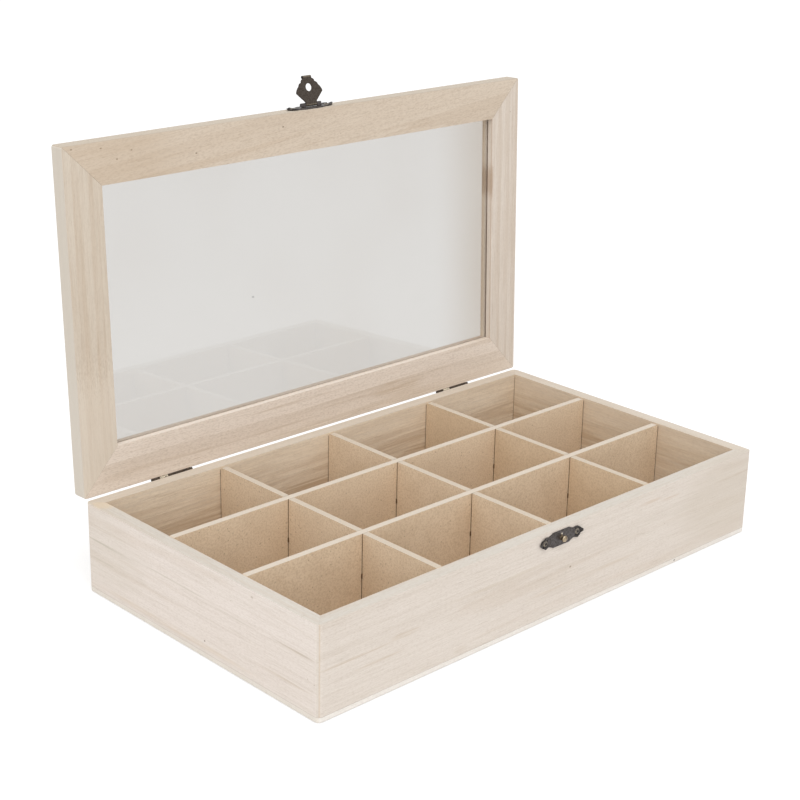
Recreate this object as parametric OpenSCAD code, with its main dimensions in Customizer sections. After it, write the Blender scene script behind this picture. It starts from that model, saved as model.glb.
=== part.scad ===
// Compartment storage box: mitred wooden walls on a thin base, twelve cells made by
// half-lapped dividers, and a mitred lid frame with a clear pane, standing open.
// Two small hinges carry the lid, and a swinging hasp drops over a knob on the front.
// Millimetres. The origin is the middle of the underside, and the front faces -Y.

/* [Box] */
// Outside width of the box
box_w = 350; // [260:1:460]
// Outside depth of the box
box_d = 198; // [150:1:300]
// Height of the rim above the underside
box_h = 54; // [44:1:90]
// Thickness of the four walls
wall_t = 8; // [7:0.5:12]
// Thickness of the base panel
base_t = 3; // [2:0.5:6]
// Radius of the upright outer corners of the box
corner_r = 3; // [1:0.5:5]

/* [Dividers] */
// Thickness of the divider boards
divider_t = 4; // [3:0.5:6]
// How far the divider tops lie below the rim
divider_drop = 0.4; // [0.2:0.1:3]
// Gap between a divider's end and the wall
divider_end_gap = 0.25; // [0.1:0.05:0.6]
// Extra width of a halving slot over the board in it
slot_gap = 0.4; // [0.2:0.1:1]

/* [Lid] */
// Thickness of the lid frame
lid_t = 9.5; // [8:0.5:14]
// Width of the front and side rails
lid_rail_w = 24; // [16:1:40]
// Width of the back rail, which carries the hinges
lid_back_rail_w = 26; // [16:1:40]
// Radius of the lid's corners
lid_corner_r = 1.5; // [1:0.5:8]
// Gap between the rim and the closed lid
lid_gap = 0.2; // [0.2:0.1:1]
// Angle at which the open lid leans on its stop
lid_open_angle = 92; // [75:1:105]
// Thickness of the clear pane
pane_t = 1.2; // [1:0.1:3]
// Depth of the groove that holds the pane
groove_depth = 5; // [3:0.5:8]

/* [Hinges] */
// Length of a hinge along its pin
hinge_len = 29; // [22:1:40]
// Distance from the box's end to the middle of a hinge
hinge_inset = 60; // [35:1:90]
// Thickness of the hinge leaves
hinge_leaf_t = 0.5; // [0.4:0.1:0.7]
// Outer radius of the hinge barrel
barrel_r = 0.75; // [0.7:0.05:1.2]
// Radius of the hinge pin
hinge_pin_r = 0.4; // [0.3:0.05:0.5]

/* [Clasp] */
// Width over the pointed ends of the clasp plates
clasp_w = 34.8; // [32:0.2:44]
// Thickness of the clasp plates and of the hasp leaf
clasp_t = 0.8; // [0.6:0.1:1]
// Width of the hasp leaf at its shoulders
hasp_leaf_w = 20; // [16:0.5:22]
// Length of the hasp leaf from its pin to its rolled tip
hasp_leaf_len = 16.8; // [16:0.2:22]
// Distance from the hasp's pin to the middle of its hole
hasp_hole_reach = 9.8; // [9:0.1:11]
// Radius of the hole that drops over the knob
hasp_hole_r = 2.3; // [2.2:0.05:2.8]
// Outer radius of the hasp's barrel
hasp_barrel_r = 1.1; // [0.9:0.1:1.3]
// Radius of the hasp's pin
hasp_pin_r = 0.5; // [0.4:0.05:0.6]
// Radius of the catch knob's head
knob_r = 1.9; // [1.6:0.05:2]
// How far the knob stands out of its plate
knob_reach = 3.3; // [3:0.1:4.5]
// Angle between the latched hasp and the standing hasp
hasp_open_angle = 104; // [80:1:110]

/* [Hidden] */

// Smoothness of large and small round shapes
round_facets = 48;
small_facets = 32;
// How far a cut runs past the face that it opens
cut_over = 1;
// Radial clearance of a pin in its bore and of a nail in its hole
pin_gap = 0.05;
nail_gap = 0.05;
// Gap between pieces that move past each other
moving_gap = 0.3;
// Gap between a hinge's barrel and the wood
barrel_gap = 0.05;

// Cells of the box
columns = 4;
rows = 3;
inner_w = box_w - 2 * wall_t;
inner_d = box_d - 2 * wall_t;
cell_w = (inner_w - (columns - 1) * divider_t) / columns;
cell_d = (inner_d - (rows - 1) * divider_t) / rows;
pitch_x = cell_w + divider_t;
pitch_y = cell_d + divider_t;
divider_top = box_h - divider_drop;
divider_mid = (base_t + divider_top) / 2;

// Lid, in its closed place
lid_z = box_h + lid_gap;
lid_open_w = box_w - 2 * lid_rail_w;
lid_open_d = box_d - lid_rail_w - lid_back_rail_w;
lid_open_y = (lid_back_rail_w - lid_rail_w) / -2;
pane_edge_gap = 0.5;
pane_face_gap = 0.05;

// Hinges: the pin lies behind the back faces, level with the gap under the lid
pivot_out = barrel_r + barrel_gap;
pivot_y = box_d / 2 + pivot_out;
pivot_z = box_h + lid_gap / 2;
knuckles = 5;
knuckle_len = hinge_len / knuckles;
knuckle_gap = 0.2;
hinge_edge_margin = 0.8;
leaf_start = barrel_r + moving_gap;
leaf_reach = lid_t + lid_gap / 2 - hinge_edge_margin;
leaf_corner_r = 1;
hinge_nail_inset = 5;
hinge_nail_x = hinge_len / 2 - hinge_nail_inset;
hinge_nail_z = (leaf_start + leaf_reach) / 2;

// Nails of the hinges and the clasp
nail_r = 0.6;
nail_tip = 1.2;
nail_wood_left = 2;
nail_len = wall_t - nail_wood_left;
nail_head_r = 1.3;
nail_head_h = 0.6;
nail_hole_r = nail_r + 0.25 * nail_r;

// Brads that hold the base panel to the walls
brad_r = 0.6;
brad_len = 12;
brad_head_r = 1.1;
brad_head_h = 0.6;
brad_x_shares = [-0.36, -0.12, 0.12, 0.36];
brad_y_shares = [-0.24, 0.24];

// Clasp plates: a middle part with clipped corners, then on each side a neck, a barb and
// a blunt point. The shares are of the plate's half width and half height.
clasp_edge_margin = 0.35;
clasp_h = lid_t - 2 * clasp_edge_margin;
clasp_x_shares = [0.385, 0.42, 0.57, 0.75, 0.875, 1];
clasp_z_shares = [1, 0.9, 0.66, 0.78, 0.48, 0.12];
clasp_nail_x = 0.75 * clasp_w / 2;
clasp_nail_head_r = 1.9;

// Hasp: its pin stands off the lid's front edge, a little below the middle of the plate
hasp_axis_out = clasp_t + moving_gap + hasp_barrel_r;
hasp_axis_drop = 0.85;
hasp_axis_y = -box_d / 2 - hasp_axis_out;
hasp_axis_z = lid_z + lid_t / 2 - hasp_axis_drop;
hasp_barrel_w = 15;
hasp_knuckle_w = 8.4;
hasp_ear_w = (hasp_barrel_w - hasp_knuckle_w) / 2 - knuckle_gap;

// Hasp leaf: shares of its half width and of its length, for the corners between its
// round lobes and for the lobes' middles and radii
leaf_corner_x_shares = [1, 0.74, 0.51, 0.36];
leaf_corner_reach_shares = [0.41, 0.645, 0.77, 0.885];
lobe_x_shares = [0.575, 0.485, 0.3];
lobe_reach_shares = [0.41, 0.62, 0.785];
lobe_r_shares = [0.425, 0.26, 0.175];
tab_w_share = 0.32;
hasp_roll_r = 0.95;
hasp_roll_bore_r = 0.35;

// Catch: its knob lies where the hasp's hole comes down
catch_z = hasp_axis_z - hasp_hole_reach;
knob_neck_r = 0.8 * knob_r;
knob_head_h = 0.4 * knob_reach;
knob_shank_r = 0.5 * knob_r;
knob_shank_len = nail_len;

wood = [0.87, 0.82, 0.74];
end_board = [0.9, 0.86, 0.78];
fibreboard = [0.74, 0.64, 0.52];
clear_sheet = [0.84, 0.84, 0.83, 0.35];
bronze = [0.29, 0.27, 0.25];
worn_brass = [0.62, 0.5, 0.3];

// Rounded rectangle about the origin
module rounded_plan(w, d, r) {
    square([w - 2 * r, d], center = true);
    square([w, d - 2 * r], center = true);
    for (sx = [-1, 1], sy = [-1, 1])
        translate([sx * (w / 2 - r), sy * (d / 2 - r)]) circle(r, $fn = round_facets);
}

// One mitred side of a frame: outer size w by d, corner radius r, and the inner
// corners a from the ends, b from this side's outer edge. The side lies at -Y.
module mitred_plan(w, d, r, a, b) {
    intersection() {
        rounded_plan(w, d, r);
        polygon([[-w / 2, -d / 2], [w / 2, -d / 2],
                 [w / 2 - a, b - d / 2], [a - w / 2, b - d / 2]]);
    }
}

// The same for an end of the frame, at -X, where the sides are b_front and b_back wide
module mitred_end_plan(w, d, r, a, b_front, b_back) {
    intersection() {
        rounded_plan(w, d, r);
        polygon([[-w / 2, -d / 2], [a - w / 2, b_front - d / 2],
                 [a - w / 2, d / 2 - b_back], [-w / 2, d / 2]]);
    }
}

// Turns the closed lid to its open place
module opened() {
    translate([0, pivot_y, pivot_z]) rotate([-lid_open_angle, 0, 0])
        translate([0, -pivot_y, -pivot_z]) children();
}

// Nail with its head's underside at the origin, driven along -Z
module domed_nail(length, head_r) {
    translate([0, 0, nail_tip - length]) cylinder(length - nail_tip, r = nail_r, $fn = small_facets);
    translate([0, 0, -length]) cylinder(nail_tip, r1 = nail_r / 4, r2 = nail_r, $fn = small_facets);
    dome(head_r, nail_head_h);
}

// Hole for a nail or shank of radius r, from above the origin to just past the tip
module pilot_hole(r, length) {
    deep = length + nail_gap;
    translate([0, 0, -deep]) cylinder(deep + cut_over, r = r + nail_gap, $fn = small_facets);
}

// Hole of radius r through a sheet of thickness t that lies on the origin
module sheet_hole(r, t) {
    translate([0, 0, -cut_over]) cylinder(t + 2 * cut_over, r = r, $fn = small_facets);
}

// Round bar or bore along X, about the origin
module cross_bar(length, r) {
    rotate([0, 90, 0]) cylinder(length, r = r, center = true, $fn = small_facets);
}

// Places of the nails: on the back faces up or down from the hinge pins, with +Z out
module at_hinge_nails(side) {
    for (hx = [-1, 1], nx = [-1, 1]) {
        x = hx * (box_w / 2 - hinge_inset) + nx * hinge_nail_x;
        translate([x, box_d / 2, pivot_z + side * hinge_nail_z]) rotate([-90, 0, 0]) children();
    }
}

// Places of the nails on the front, at height z, with +Z out
module at_clasp_nails(z) {
    for (nx = [-1, 1]) translate([nx * clasp_nail_x, -box_d / 2, z]) rotate([90, 0, 0]) children();
}

// Places of the base brads, with the head at the underside and +Z down
module at_brads() {
    for (s = brad_x_shares, sy = [-1, 1])
        translate([s * box_w, sy * (box_d - wall_t) / 2, 0]) rotate([180, 0, 0]) children();
    for (s = brad_y_shares, sx = [-1, 1])
        translate([sx * (box_w - wall_t) / 2, s * box_d, 0]) rotate([180, 0, 0]) children();
}

module brad() {
    translate([0, 0, -brad_head_h]) cylinder(brad_head_h, r = brad_head_r, $fn = small_facets);
    translate([0, 0, -brad_len]) cylinder(brad_len - brad_head_h, r = brad_r, $fn = small_facets);
}

module brad_hole() {
    pilot_hole(brad_head_r, brad_head_h);
    pilot_hole(brad_r, brad_len);
}

// Box walls
module wall_plan(long_side) {
    if (long_side) mitred_plan(box_w, box_d, corner_r, wall_t, wall_t);
    else mitred_end_plan(box_w, box_d, corner_r, wall_t, wall_t, wall_t);
}

module wall_solid(long_side) {
    translate([0, 0, base_t]) linear_extrude(box_h - base_t) wall_plan(long_side);
}

module base_panel() {
    color(end_board) difference() {
        linear_extrude(base_t) rounded_plan(box_w, box_d, corner_r);
        at_brads() brad_hole();
    }
}

module front_wall() {
    color(wood) difference() {
        wall_solid(true);
        at_brads() brad_hole();
        at_clasp_nails(catch_z) pilot_hole(nail_r, nail_len);
        at_knob() pilot_hole(knob_shank_r, knob_shank_len);
    }
}

module back_wall() {
    color(wood) difference() {
        mirror([0, 1, 0]) wall_solid(true);
        at_brads() brad_hole();
        at_hinge_nails(-1) pilot_hole(nail_r, nail_len);
    }
}

module left_wall() {
    color(wood) difference() {
        wall_solid(false);
        at_brads() brad_hole();
    }
}

module right_wall() {
    color(wood) difference() {
        mirror([1, 0, 0]) wall_solid(false);
        at_brads() brad_hole();
    }
}

module base_brads() {
    color(bronze) at_brads() brad();
}

// Dividers: the long ones are slotted from below, the cross ones from above
module long_divider(y) {
    length = inner_w - 2 * divider_end_gap;
    slot_w = divider_t + slot_gap;
    slot_top = divider_mid + slot_gap / 2;
    color(fibreboard) translate([0, y - divider_t / 2, 0]) difference() {
        translate([-length / 2, 0, base_t]) cube([length, divider_t, divider_top - base_t]);
        for (i = [1 : columns - 1]) {
            x = (i - columns / 2) * pitch_x;
            translate([x - slot_w / 2, -cut_over, base_t - cut_over])
                cube([slot_w, divider_t + 2 * cut_over, slot_top - base_t + cut_over]);
        }
    }
}

module cross_divider(x) {
    length = inner_d - 2 * divider_end_gap;
    slot_w = divider_t + slot_gap;
    slot_bottom = divider_mid - slot_gap / 2;
    color(fibreboard) translate([x - divider_t / 2, 0, 0]) difference() {
        translate([0, -length / 2, base_t]) cube([divider_t, length, divider_top - base_t]);
        for (j = [1 : rows - 1]) {
            y = (j - rows / 2) * pitch_y;
            translate([-cut_over, y - slot_w / 2, slot_bottom])
                cube([divider_t + 2 * cut_over, slot_w, divider_top - slot_bottom + cut_over]);
        }
    }
}

module long_divider_front() { long_divider(-pitch_y / 2); }
module long_divider_back() { long_divider(pitch_y / 2); }
module cross_divider_left() { cross_divider(-pitch_x); }
module cross_divider_middle() { cross_divider(0); }
module cross_divider_right() { cross_divider(pitch_x); }

// Lid rails, closed place: a mitred plan, less the groove that takes the pane
module pane_box(edge, face) {
    w = lid_open_w + 2 * groove_depth - 2 * edge;
    d = lid_open_d + 2 * groove_depth - 2 * edge;
    translate([-w / 2, lid_open_y - d / 2, lid_z + (lid_t - pane_t) / 2 - face])
        cube([w, d, pane_t + 2 * face]);
}

module lid_rail() {
    difference() {
        translate([0, 0, lid_z]) linear_extrude(lid_t) children();
        pane_box(0, pane_face_gap);
    }
}

module lid_front_rail() {
    color(wood) opened() difference() {
        lid_rail() mitred_plan(box_w, box_d, lid_corner_r, lid_rail_w, lid_rail_w);
        at_clasp_nails(lid_z + lid_t / 2) pilot_hole(nail_r, nail_len);
    }
}

module lid_back_rail() {
    color(wood) opened() difference() {
        lid_rail() mirror([0, 1]) mitred_plan(box_w, box_d, lid_corner_r, lid_rail_w, lid_back_rail_w);
        at_hinge_nails(1) pilot_hole(nail_r, nail_len);
    }
}

module lid_end_plan() {
    mitred_end_plan(box_w, box_d, lid_corner_r, lid_rail_w, lid_rail_w, lid_back_rail_w);
}

module lid_left_rail() { color(wood) opened() lid_rail() lid_end_plan(); }
module lid_right_rail() { color(wood) opened() lid_rail() mirror([1, 0]) lid_end_plan(); }
module lid_pane() { color(clear_sheet) opened() pane_box(pane_edge_gap, 0); }

// Hinge leaf about the pin's middle, flat on the wood below the pin. It carries every
// second knuckle from the one numbered first.
module hinge_leaf(first) {
    leaf_h = leaf_reach - leaf_start;
    difference() {
        union() {
            translate([0, -pivot_out, -leaf_start - leaf_h / 2]) rotate([-90, 0, 0])
                linear_extrude(hinge_leaf_t) rounded_plan(hinge_len, leaf_h, leaf_corner_r);
            for (i = [first : 2 : knuckles - 1])
                translate([(i - knuckles / 2) * knuckle_len + knuckle_gap / 2, 0, 0]) knuckle();
        }
        cross_bar(hinge_len + 2 * cut_over, hinge_pin_r + pin_gap);
        for (nx = [-1, 1]) translate([nx * hinge_nail_x, -pivot_out, -hinge_nail_z]) rotate([-90, 0, 0])
            sheet_hole(nail_hole_r, hinge_leaf_t);
    }
}

// One knuckle and the tongue that joins it to its leaf
module knuckle() {
    length = knuckle_len - knuckle_gap;
    rotate([0, 90, 0]) cylinder(length, r = barrel_r, $fn = small_facets);
    translate([0, -pivot_out, -leaf_start - leaf_corner_r])
        cube([length, hinge_leaf_t, leaf_start + leaf_corner_r]);
}

module at_hinge(side) {
    translate([side * (box_w / 2 - hinge_inset), pivot_y, pivot_z]) children();
}

module box_leaf(side) { color(bronze) at_hinge(side) hinge_leaf(0); }
module lid_leaf(side) { color(bronze) opened() at_hinge(side) mirror([0, 0, 1]) hinge_leaf(1); }
module hinge_pin(side) { color(bronze) at_hinge(side) cross_bar(hinge_len, hinge_pin_r); }

module left_hinge_box_leaf() { box_leaf(-1); }
module left_hinge_lid_leaf() { lid_leaf(-1); }
module left_hinge_pin() { hinge_pin(-1); }
module right_hinge_box_leaf() { box_leaf(1); }
module right_hinge_lid_leaf() { lid_leaf(1); }
module right_hinge_pin() { hinge_pin(1); }

module hinge_box_nails() {
    color(bronze) at_hinge_nails(-1)
        translate([0, 0, hinge_leaf_t]) domed_nail(nail_len + hinge_leaf_t, nail_head_r);
}

module hinge_lid_nails() {
    color(bronze) opened() at_hinge_nails(1)
        translate([0, 0, hinge_leaf_t]) domed_nail(nail_len + hinge_leaf_t, nail_head_r);
}

// Outline of a clasp plate in x and z, from one quarter of it
module clasp_plan() {
    quarter = [for (i = [0 : len(clasp_x_shares) - 1])
        [clasp_x_shares[i] * clasp_w / 2, clasp_z_shares[i] * clasp_h / 2]];
    last = len(quarter) - 1;
    lower = [for (i = [last : -1 : 0]) [quarter[i][0], -quarter[i][1]]];
    right = concat(quarter, lower);
    left = [for (i = [2 * last + 1 : -1 : 0]) [-right[i][0], right[i][1]]];
    polygon(concat(right, left));
}

// Clasp plate on the front at height z
module clasp_plate(z) {
    difference() {
        translate([0, -box_d / 2, z]) rotate([90, 0, 0]) linear_extrude(clasp_t) clasp_plan();
        at_clasp_nails(z) sheet_hole(nail_hole_r, clasp_t);
    }
}

// Rolled ear that holds the hasp's pin, with the tongue that carries it on its plate
module hasp_ear() {
    rotate([0, 90, 0]) cylinder(hasp_ear_w, r = hasp_barrel_r, $fn = small_facets);
    translate([0, 0, -hasp_barrel_r]) cube([hasp_ear_w, hasp_axis_out - clasp_t / 2, clasp_t]);
}

module at_hasp_axis() { translate([0, hasp_axis_y, hasp_axis_z]) children(); }

module hasp_plate() {
    color(bronze) opened() difference() {
        union() {
            clasp_plate(lid_z + lid_t / 2);
            at_hasp_axis() for (x = [-hasp_barrel_w / 2, hasp_barrel_w / 2 - hasp_ear_w])
                translate([x, 0, 0]) hasp_ear();
        }
        at_hasp_axis() cross_bar(hasp_barrel_w + 2 * cut_over, hasp_pin_r + pin_gap);
    }
}

module hasp_plate_nails() {
    color(bronze) opened() at_clasp_nails(lid_z + lid_t / 2)
        translate([0, 0, clasp_t]) domed_nail(nail_len + clasp_t, clasp_nail_head_r);
}

module hasp_pin() {
    color(bronze) opened() at_hasp_axis() cross_bar(hasp_barrel_w, hasp_pin_r);
}

// Outline of the latched hasp leaf, with x across and y up to the pin. It flares from
// its knuckle to the shoulders, and narrows through round lobes to the tab.
module hasp_leaf_plan() {
    half = hasp_leaf_w / 2;
    tab_w = tab_w_share * hasp_leaf_w;
    flare_start = hasp_barrel_r + moving_gap;
    base = [[hasp_knuckle_w / 2, 0], [hasp_knuckle_w / 2, -flare_start]];
    side = [for (i = [0 : len(leaf_corner_x_shares) - 1])
        [leaf_corner_x_shares[i] * half, -leaf_corner_reach_shares[i] * hasp_leaf_len]];
    right = concat(base, side);
    left = [for (i = [len(right) - 1 : -1 : 0]) [-right[i][0], right[i][1]]];
    difference() {
        union() {
            polygon(concat(right, left));
            for (sx = [-1, 1], i = [0 : len(lobe_x_shares) - 1])
                translate([sx * lobe_x_shares[i] * half, -lobe_reach_shares[i] * hasp_leaf_len])
                    circle(lobe_r_shares[i] * half, $fn = small_facets);
            translate([-tab_w / 2, hasp_roll_r - hasp_leaf_len])
                square([tab_w, hasp_leaf_len - hasp_roll_r - hasp_hole_reach - hasp_hole_r]);
        }
        translate([0, -hasp_hole_reach]) circle(hasp_hole_r, $fn = round_facets);
    }
}

module at_hasp_roll() {
    translate([0, hasp_barrel_r - hasp_roll_r, hasp_roll_r - hasp_leaf_len]) children();
}

// Latched hasp leaf about its pin: the sheet runs down on the side nearest the box, and
// its tip is rolled outwards
module hasp_leaf_solid() {
    tab_w = tab_w_share * hasp_leaf_w;
    difference() {
        union() {
            cross_bar(hasp_knuckle_w, hasp_barrel_r);
            translate([0, hasp_barrel_r, 0]) rotate([90, 0, 0])
                linear_extrude(clasp_t) hasp_leaf_plan();
            at_hasp_roll() cross_bar(tab_w, hasp_roll_r);
        }
        cross_bar(hasp_knuckle_w + 2 * cut_over, hasp_pin_r + pin_gap);
        at_hasp_roll() cross_bar(tab_w + 2 * cut_over, hasp_roll_bore_r);
    }
}

module hasp_leaf() {
    color(bronze) opened() at_hasp_axis() rotate([-hasp_open_angle, 0, 0]) hasp_leaf_solid();
}

// Catch on the box front
module at_knob() {
    translate([0, -box_d / 2, catch_z]) rotate([90, 0, 0]) children();
}

module catch_plate() {
    color(bronze) difference() {
        clasp_plate(catch_z);
        at_knob() sheet_hole(knob_shank_r + nail_gap, clasp_t);
    }
}

module catch_plate_nails() {
    color(bronze) at_clasp_nails(catch_z)
        translate([0, 0, clasp_t]) domed_nail(nail_len + clasp_t, clasp_nail_head_r);
}

// Cap of a sphere, with its flat face of radius r on the origin and its top at height h
module dome(r, h) {
    dome_r = (r * r + h * h) / (2 * h);
    intersection() {
        translate([0, 0, h - dome_r]) sphere(dome_r, $fn = round_facets);
        cylinder(h, r = r, $fn = small_facets);
    }
}

// Knob: a shank in the wall, a neck, and a domed head
module catch_knob() {
    neck_top = clasp_t + knob_reach - knob_head_h;
    color(worn_brass) at_knob() {
        translate([0, 0, -knob_shank_len])
            cylinder(knob_shank_len + clasp_t, r = knob_shank_r, $fn = small_facets);
        translate([0, 0, clasp_t]) cylinder(neck_top - clasp_t, r = knob_neck_r, $fn = small_facets);
        translate([0, 0, neck_top]) dome(knob_r, knob_head_h);
    }
}

base_panel();
front_wall();
back_wall();
left_wall();
right_wall();
base_brads();
long_divider_front();
long_divider_back();
cross_divider_left();
cross_divider_middle();
cross_divider_right();
lid_front_rail();
lid_back_rail();
lid_left_rail();
lid_right_rail();
lid_pane();
left_hinge_box_leaf();
left_hinge_lid_leaf();
left_hinge_pin();
right_hinge_box_leaf();
right_hinge_lid_leaf();
right_hinge_pin();
hinge_box_nails();
hinge_lid_nails();
hasp_plate();
hasp_plate_nails();
hasp_pin();
hasp_leaf();
catch_plate();
catch_plate_nails();
catch_knob();
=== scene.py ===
"""Compartment storage box: raw wood walls, fibreboard dividers and a glazed lid that stands open.

Every piece is modelled in millimetres, in its closed place, and is then moved to its place at
rest and scaled to metres.
"""

from __future__ import annotations

import logging
import math
from dataclasses import dataclass, field
from enum import Enum
from typing import Callable, Optional, Sequence, Union

import bmesh
import bpy
from mathutils import Matrix, Vector


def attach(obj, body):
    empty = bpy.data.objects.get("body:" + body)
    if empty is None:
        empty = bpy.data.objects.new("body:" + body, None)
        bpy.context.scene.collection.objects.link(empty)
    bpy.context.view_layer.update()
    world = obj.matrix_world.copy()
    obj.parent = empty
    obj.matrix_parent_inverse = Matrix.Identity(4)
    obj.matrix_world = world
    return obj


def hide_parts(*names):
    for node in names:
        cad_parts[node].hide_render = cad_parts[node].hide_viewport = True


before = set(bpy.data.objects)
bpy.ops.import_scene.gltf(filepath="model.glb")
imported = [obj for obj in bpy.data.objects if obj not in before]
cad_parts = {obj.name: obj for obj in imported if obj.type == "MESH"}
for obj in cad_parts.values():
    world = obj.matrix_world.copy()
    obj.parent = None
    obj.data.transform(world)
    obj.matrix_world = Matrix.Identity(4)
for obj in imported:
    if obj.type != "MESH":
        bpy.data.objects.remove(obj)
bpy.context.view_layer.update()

LOG = logging.getLogger("storage_box")
# A millimetre in metres.
MM = 0.001
# The face attribute that tells a material where edges wear pale and highlights are painted,
# and where seams are dark and shade is painted.
EDGE_TONE = "edge_tone"
# Tolerances in millimetres, for finding places, for cuts and for welding corners.
TINY = 1e-3
FINE = 1e-4
WELD = 5e-4
# Edges that turn by less than this are shaded smooth.
SMOOTH_ANGLE = math.radians(38)
# A distance beyond every board, in millimetres.
FAR = 1000.0
# How much noise frays a mark, and where the mark ends and is full, as shares of its half size.
FRAY = 0.8
FRAY_SPAN = (1.35, 0.8)

Colour = tuple[float, float, float, float]
Point = tuple[float, float, float]
Spot = tuple[float, float]
Piece = bpy.types.Object
Material = bpy.types.Material
Socket = bpy.types.NodeSocket
Edge = bmesh.types.BMEdge
Face = bmesh.types.BMFace
Input = Union[float, tuple, Socket]
Test = Callable[..., bool]
Tone = Union[float, Callable[[Vector], float]]


class Body(Enum):
    """The CAD bodies that pieces ride on."""

    BOX = "box"
    LID = "lid"
    HASP = "hasp"


class Slot(Enum):
    """The record's material slots."""

    WALL_WOOD = "wall_wood"
    BASE_WOOD = "base_wood"
    LID_WOOD = "lid_wood"
    FIBREBOARD = "fibreboard"
    CLEAR_PANE = "clear_pane"
    DARK_BRONZE = "dark_bronze"
    WORN_BRASS = "worn_brass"
    STEEL_BRADS = "steel_brads"


class Grain(Enum):
    """The way that a board's grain runs in its closed place."""

    ALONG_X = 0.0
    ALONG_Y = -90.0


class Part(Enum):
    """The elements of a mesh that can be selected."""

    FACE = "FACE"
    EDGE = "EDGE"
    VERT = "VERT"


class Join(Enum):
    """The ways of combining two solids."""

    CUT = "DIFFERENCE"
    WELD = "UNION"


def paint(red: int, green: int, blue: int) -> Colour:
    """Turns a display colour into the linear colour that a shader takes.

    Args:
        red: Red, 0 to 255.
        green: Green, 0 to 255.
        blue: Blue, 0 to 255.

    Returns:
        The linear colour, opaque.
    """
    channels = []
    for value in (red, green, blue):
        share = value / 255
        channels.append(share / 12.92 if share < 0.04045 else ((share + 0.055) / 1.055) ** 2.4)
    return (channels[0], channels[1], channels[2], 1.0)


@dataclass(frozen=True)
class Plan:
    """Sizes that several sub-assemblies share, in millimetres and degrees."""

    width: float = 350.0
    depth: float = 198.0
    height: float = 54.0
    wall: float = 8.0
    base: float = 3.0
    lid_base: float = 54.2
    lid_thick: float = 9.5
    rail: float = 24.0
    divider_top: float = 53.6
    divider_middle: float = 28.3
    divider_pitch_x: float = 84.5
    divider_pitch_y: float = 62.0
    pivot_y: float = 99.8
    pivot_z: float = 54.1
    lid_angle: float = 92.0
    hasp_y: float = -101.2
    hasp_z: float = 58.1
    hasp_angle: float = 104.0
    catch_z: float = 48.3

    def lid_middle(self) -> float:
        """Returns the height of the closed lid's middle."""
        return self.lid_base + self.lid_thick / 2

    def pivot(self) -> Vector:
        """Returns the middle of the hinge line."""
        return Vector((0.0, self.pivot_y, self.pivot_z))

    def opened(self) -> Matrix:
        """Returns the move from the lid's closed place to its open place."""
        turn = Matrix.Rotation(math.radians(-self.lid_angle), 4, "X")
        return Matrix.Translation(self.pivot()) @ turn @ Matrix.Translation(-self.pivot())

    def on_front(self, height: float) -> Matrix:
        """Returns the place of flat work on the front faces.

        Args:
            height: Height of its middle.

        Returns:
            A move that takes x across, y up and z out of the wood.
        """
        face_up = Matrix.Rotation(math.radians(90), 4, "X")
        return Matrix.Translation((0.0, -self.depth / 2, height)) @ face_up

    def hasp_axis(self) -> Matrix:
        """Returns the move to the hasp's pin on the closed lid."""
        return Matrix.Translation((0.0, self.hasp_y, self.hasp_z))


PLAN = Plan()
OPENED = PLAN.opened()
CLOSED = Matrix.Identity(4)
JOINT_LINE = paint(104, 80, 58)
DIVIDER_THICK = 4.0
# Where boards meet a board that runs along x or along y: the middle and half thickness of each.
CROSS_LINES = ((0.0, DIVIDER_THICK / 2), (PLAN.divider_pitch_x, DIVIDER_THICK / 2),
               (PLAN.width / 2 - PLAN.wall, 0.0))
LONG_LINES = ((PLAN.divider_pitch_y / 2, DIVIDER_THICK / 2), (PLAN.depth / 2 - PLAN.wall, 0.0))


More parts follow.
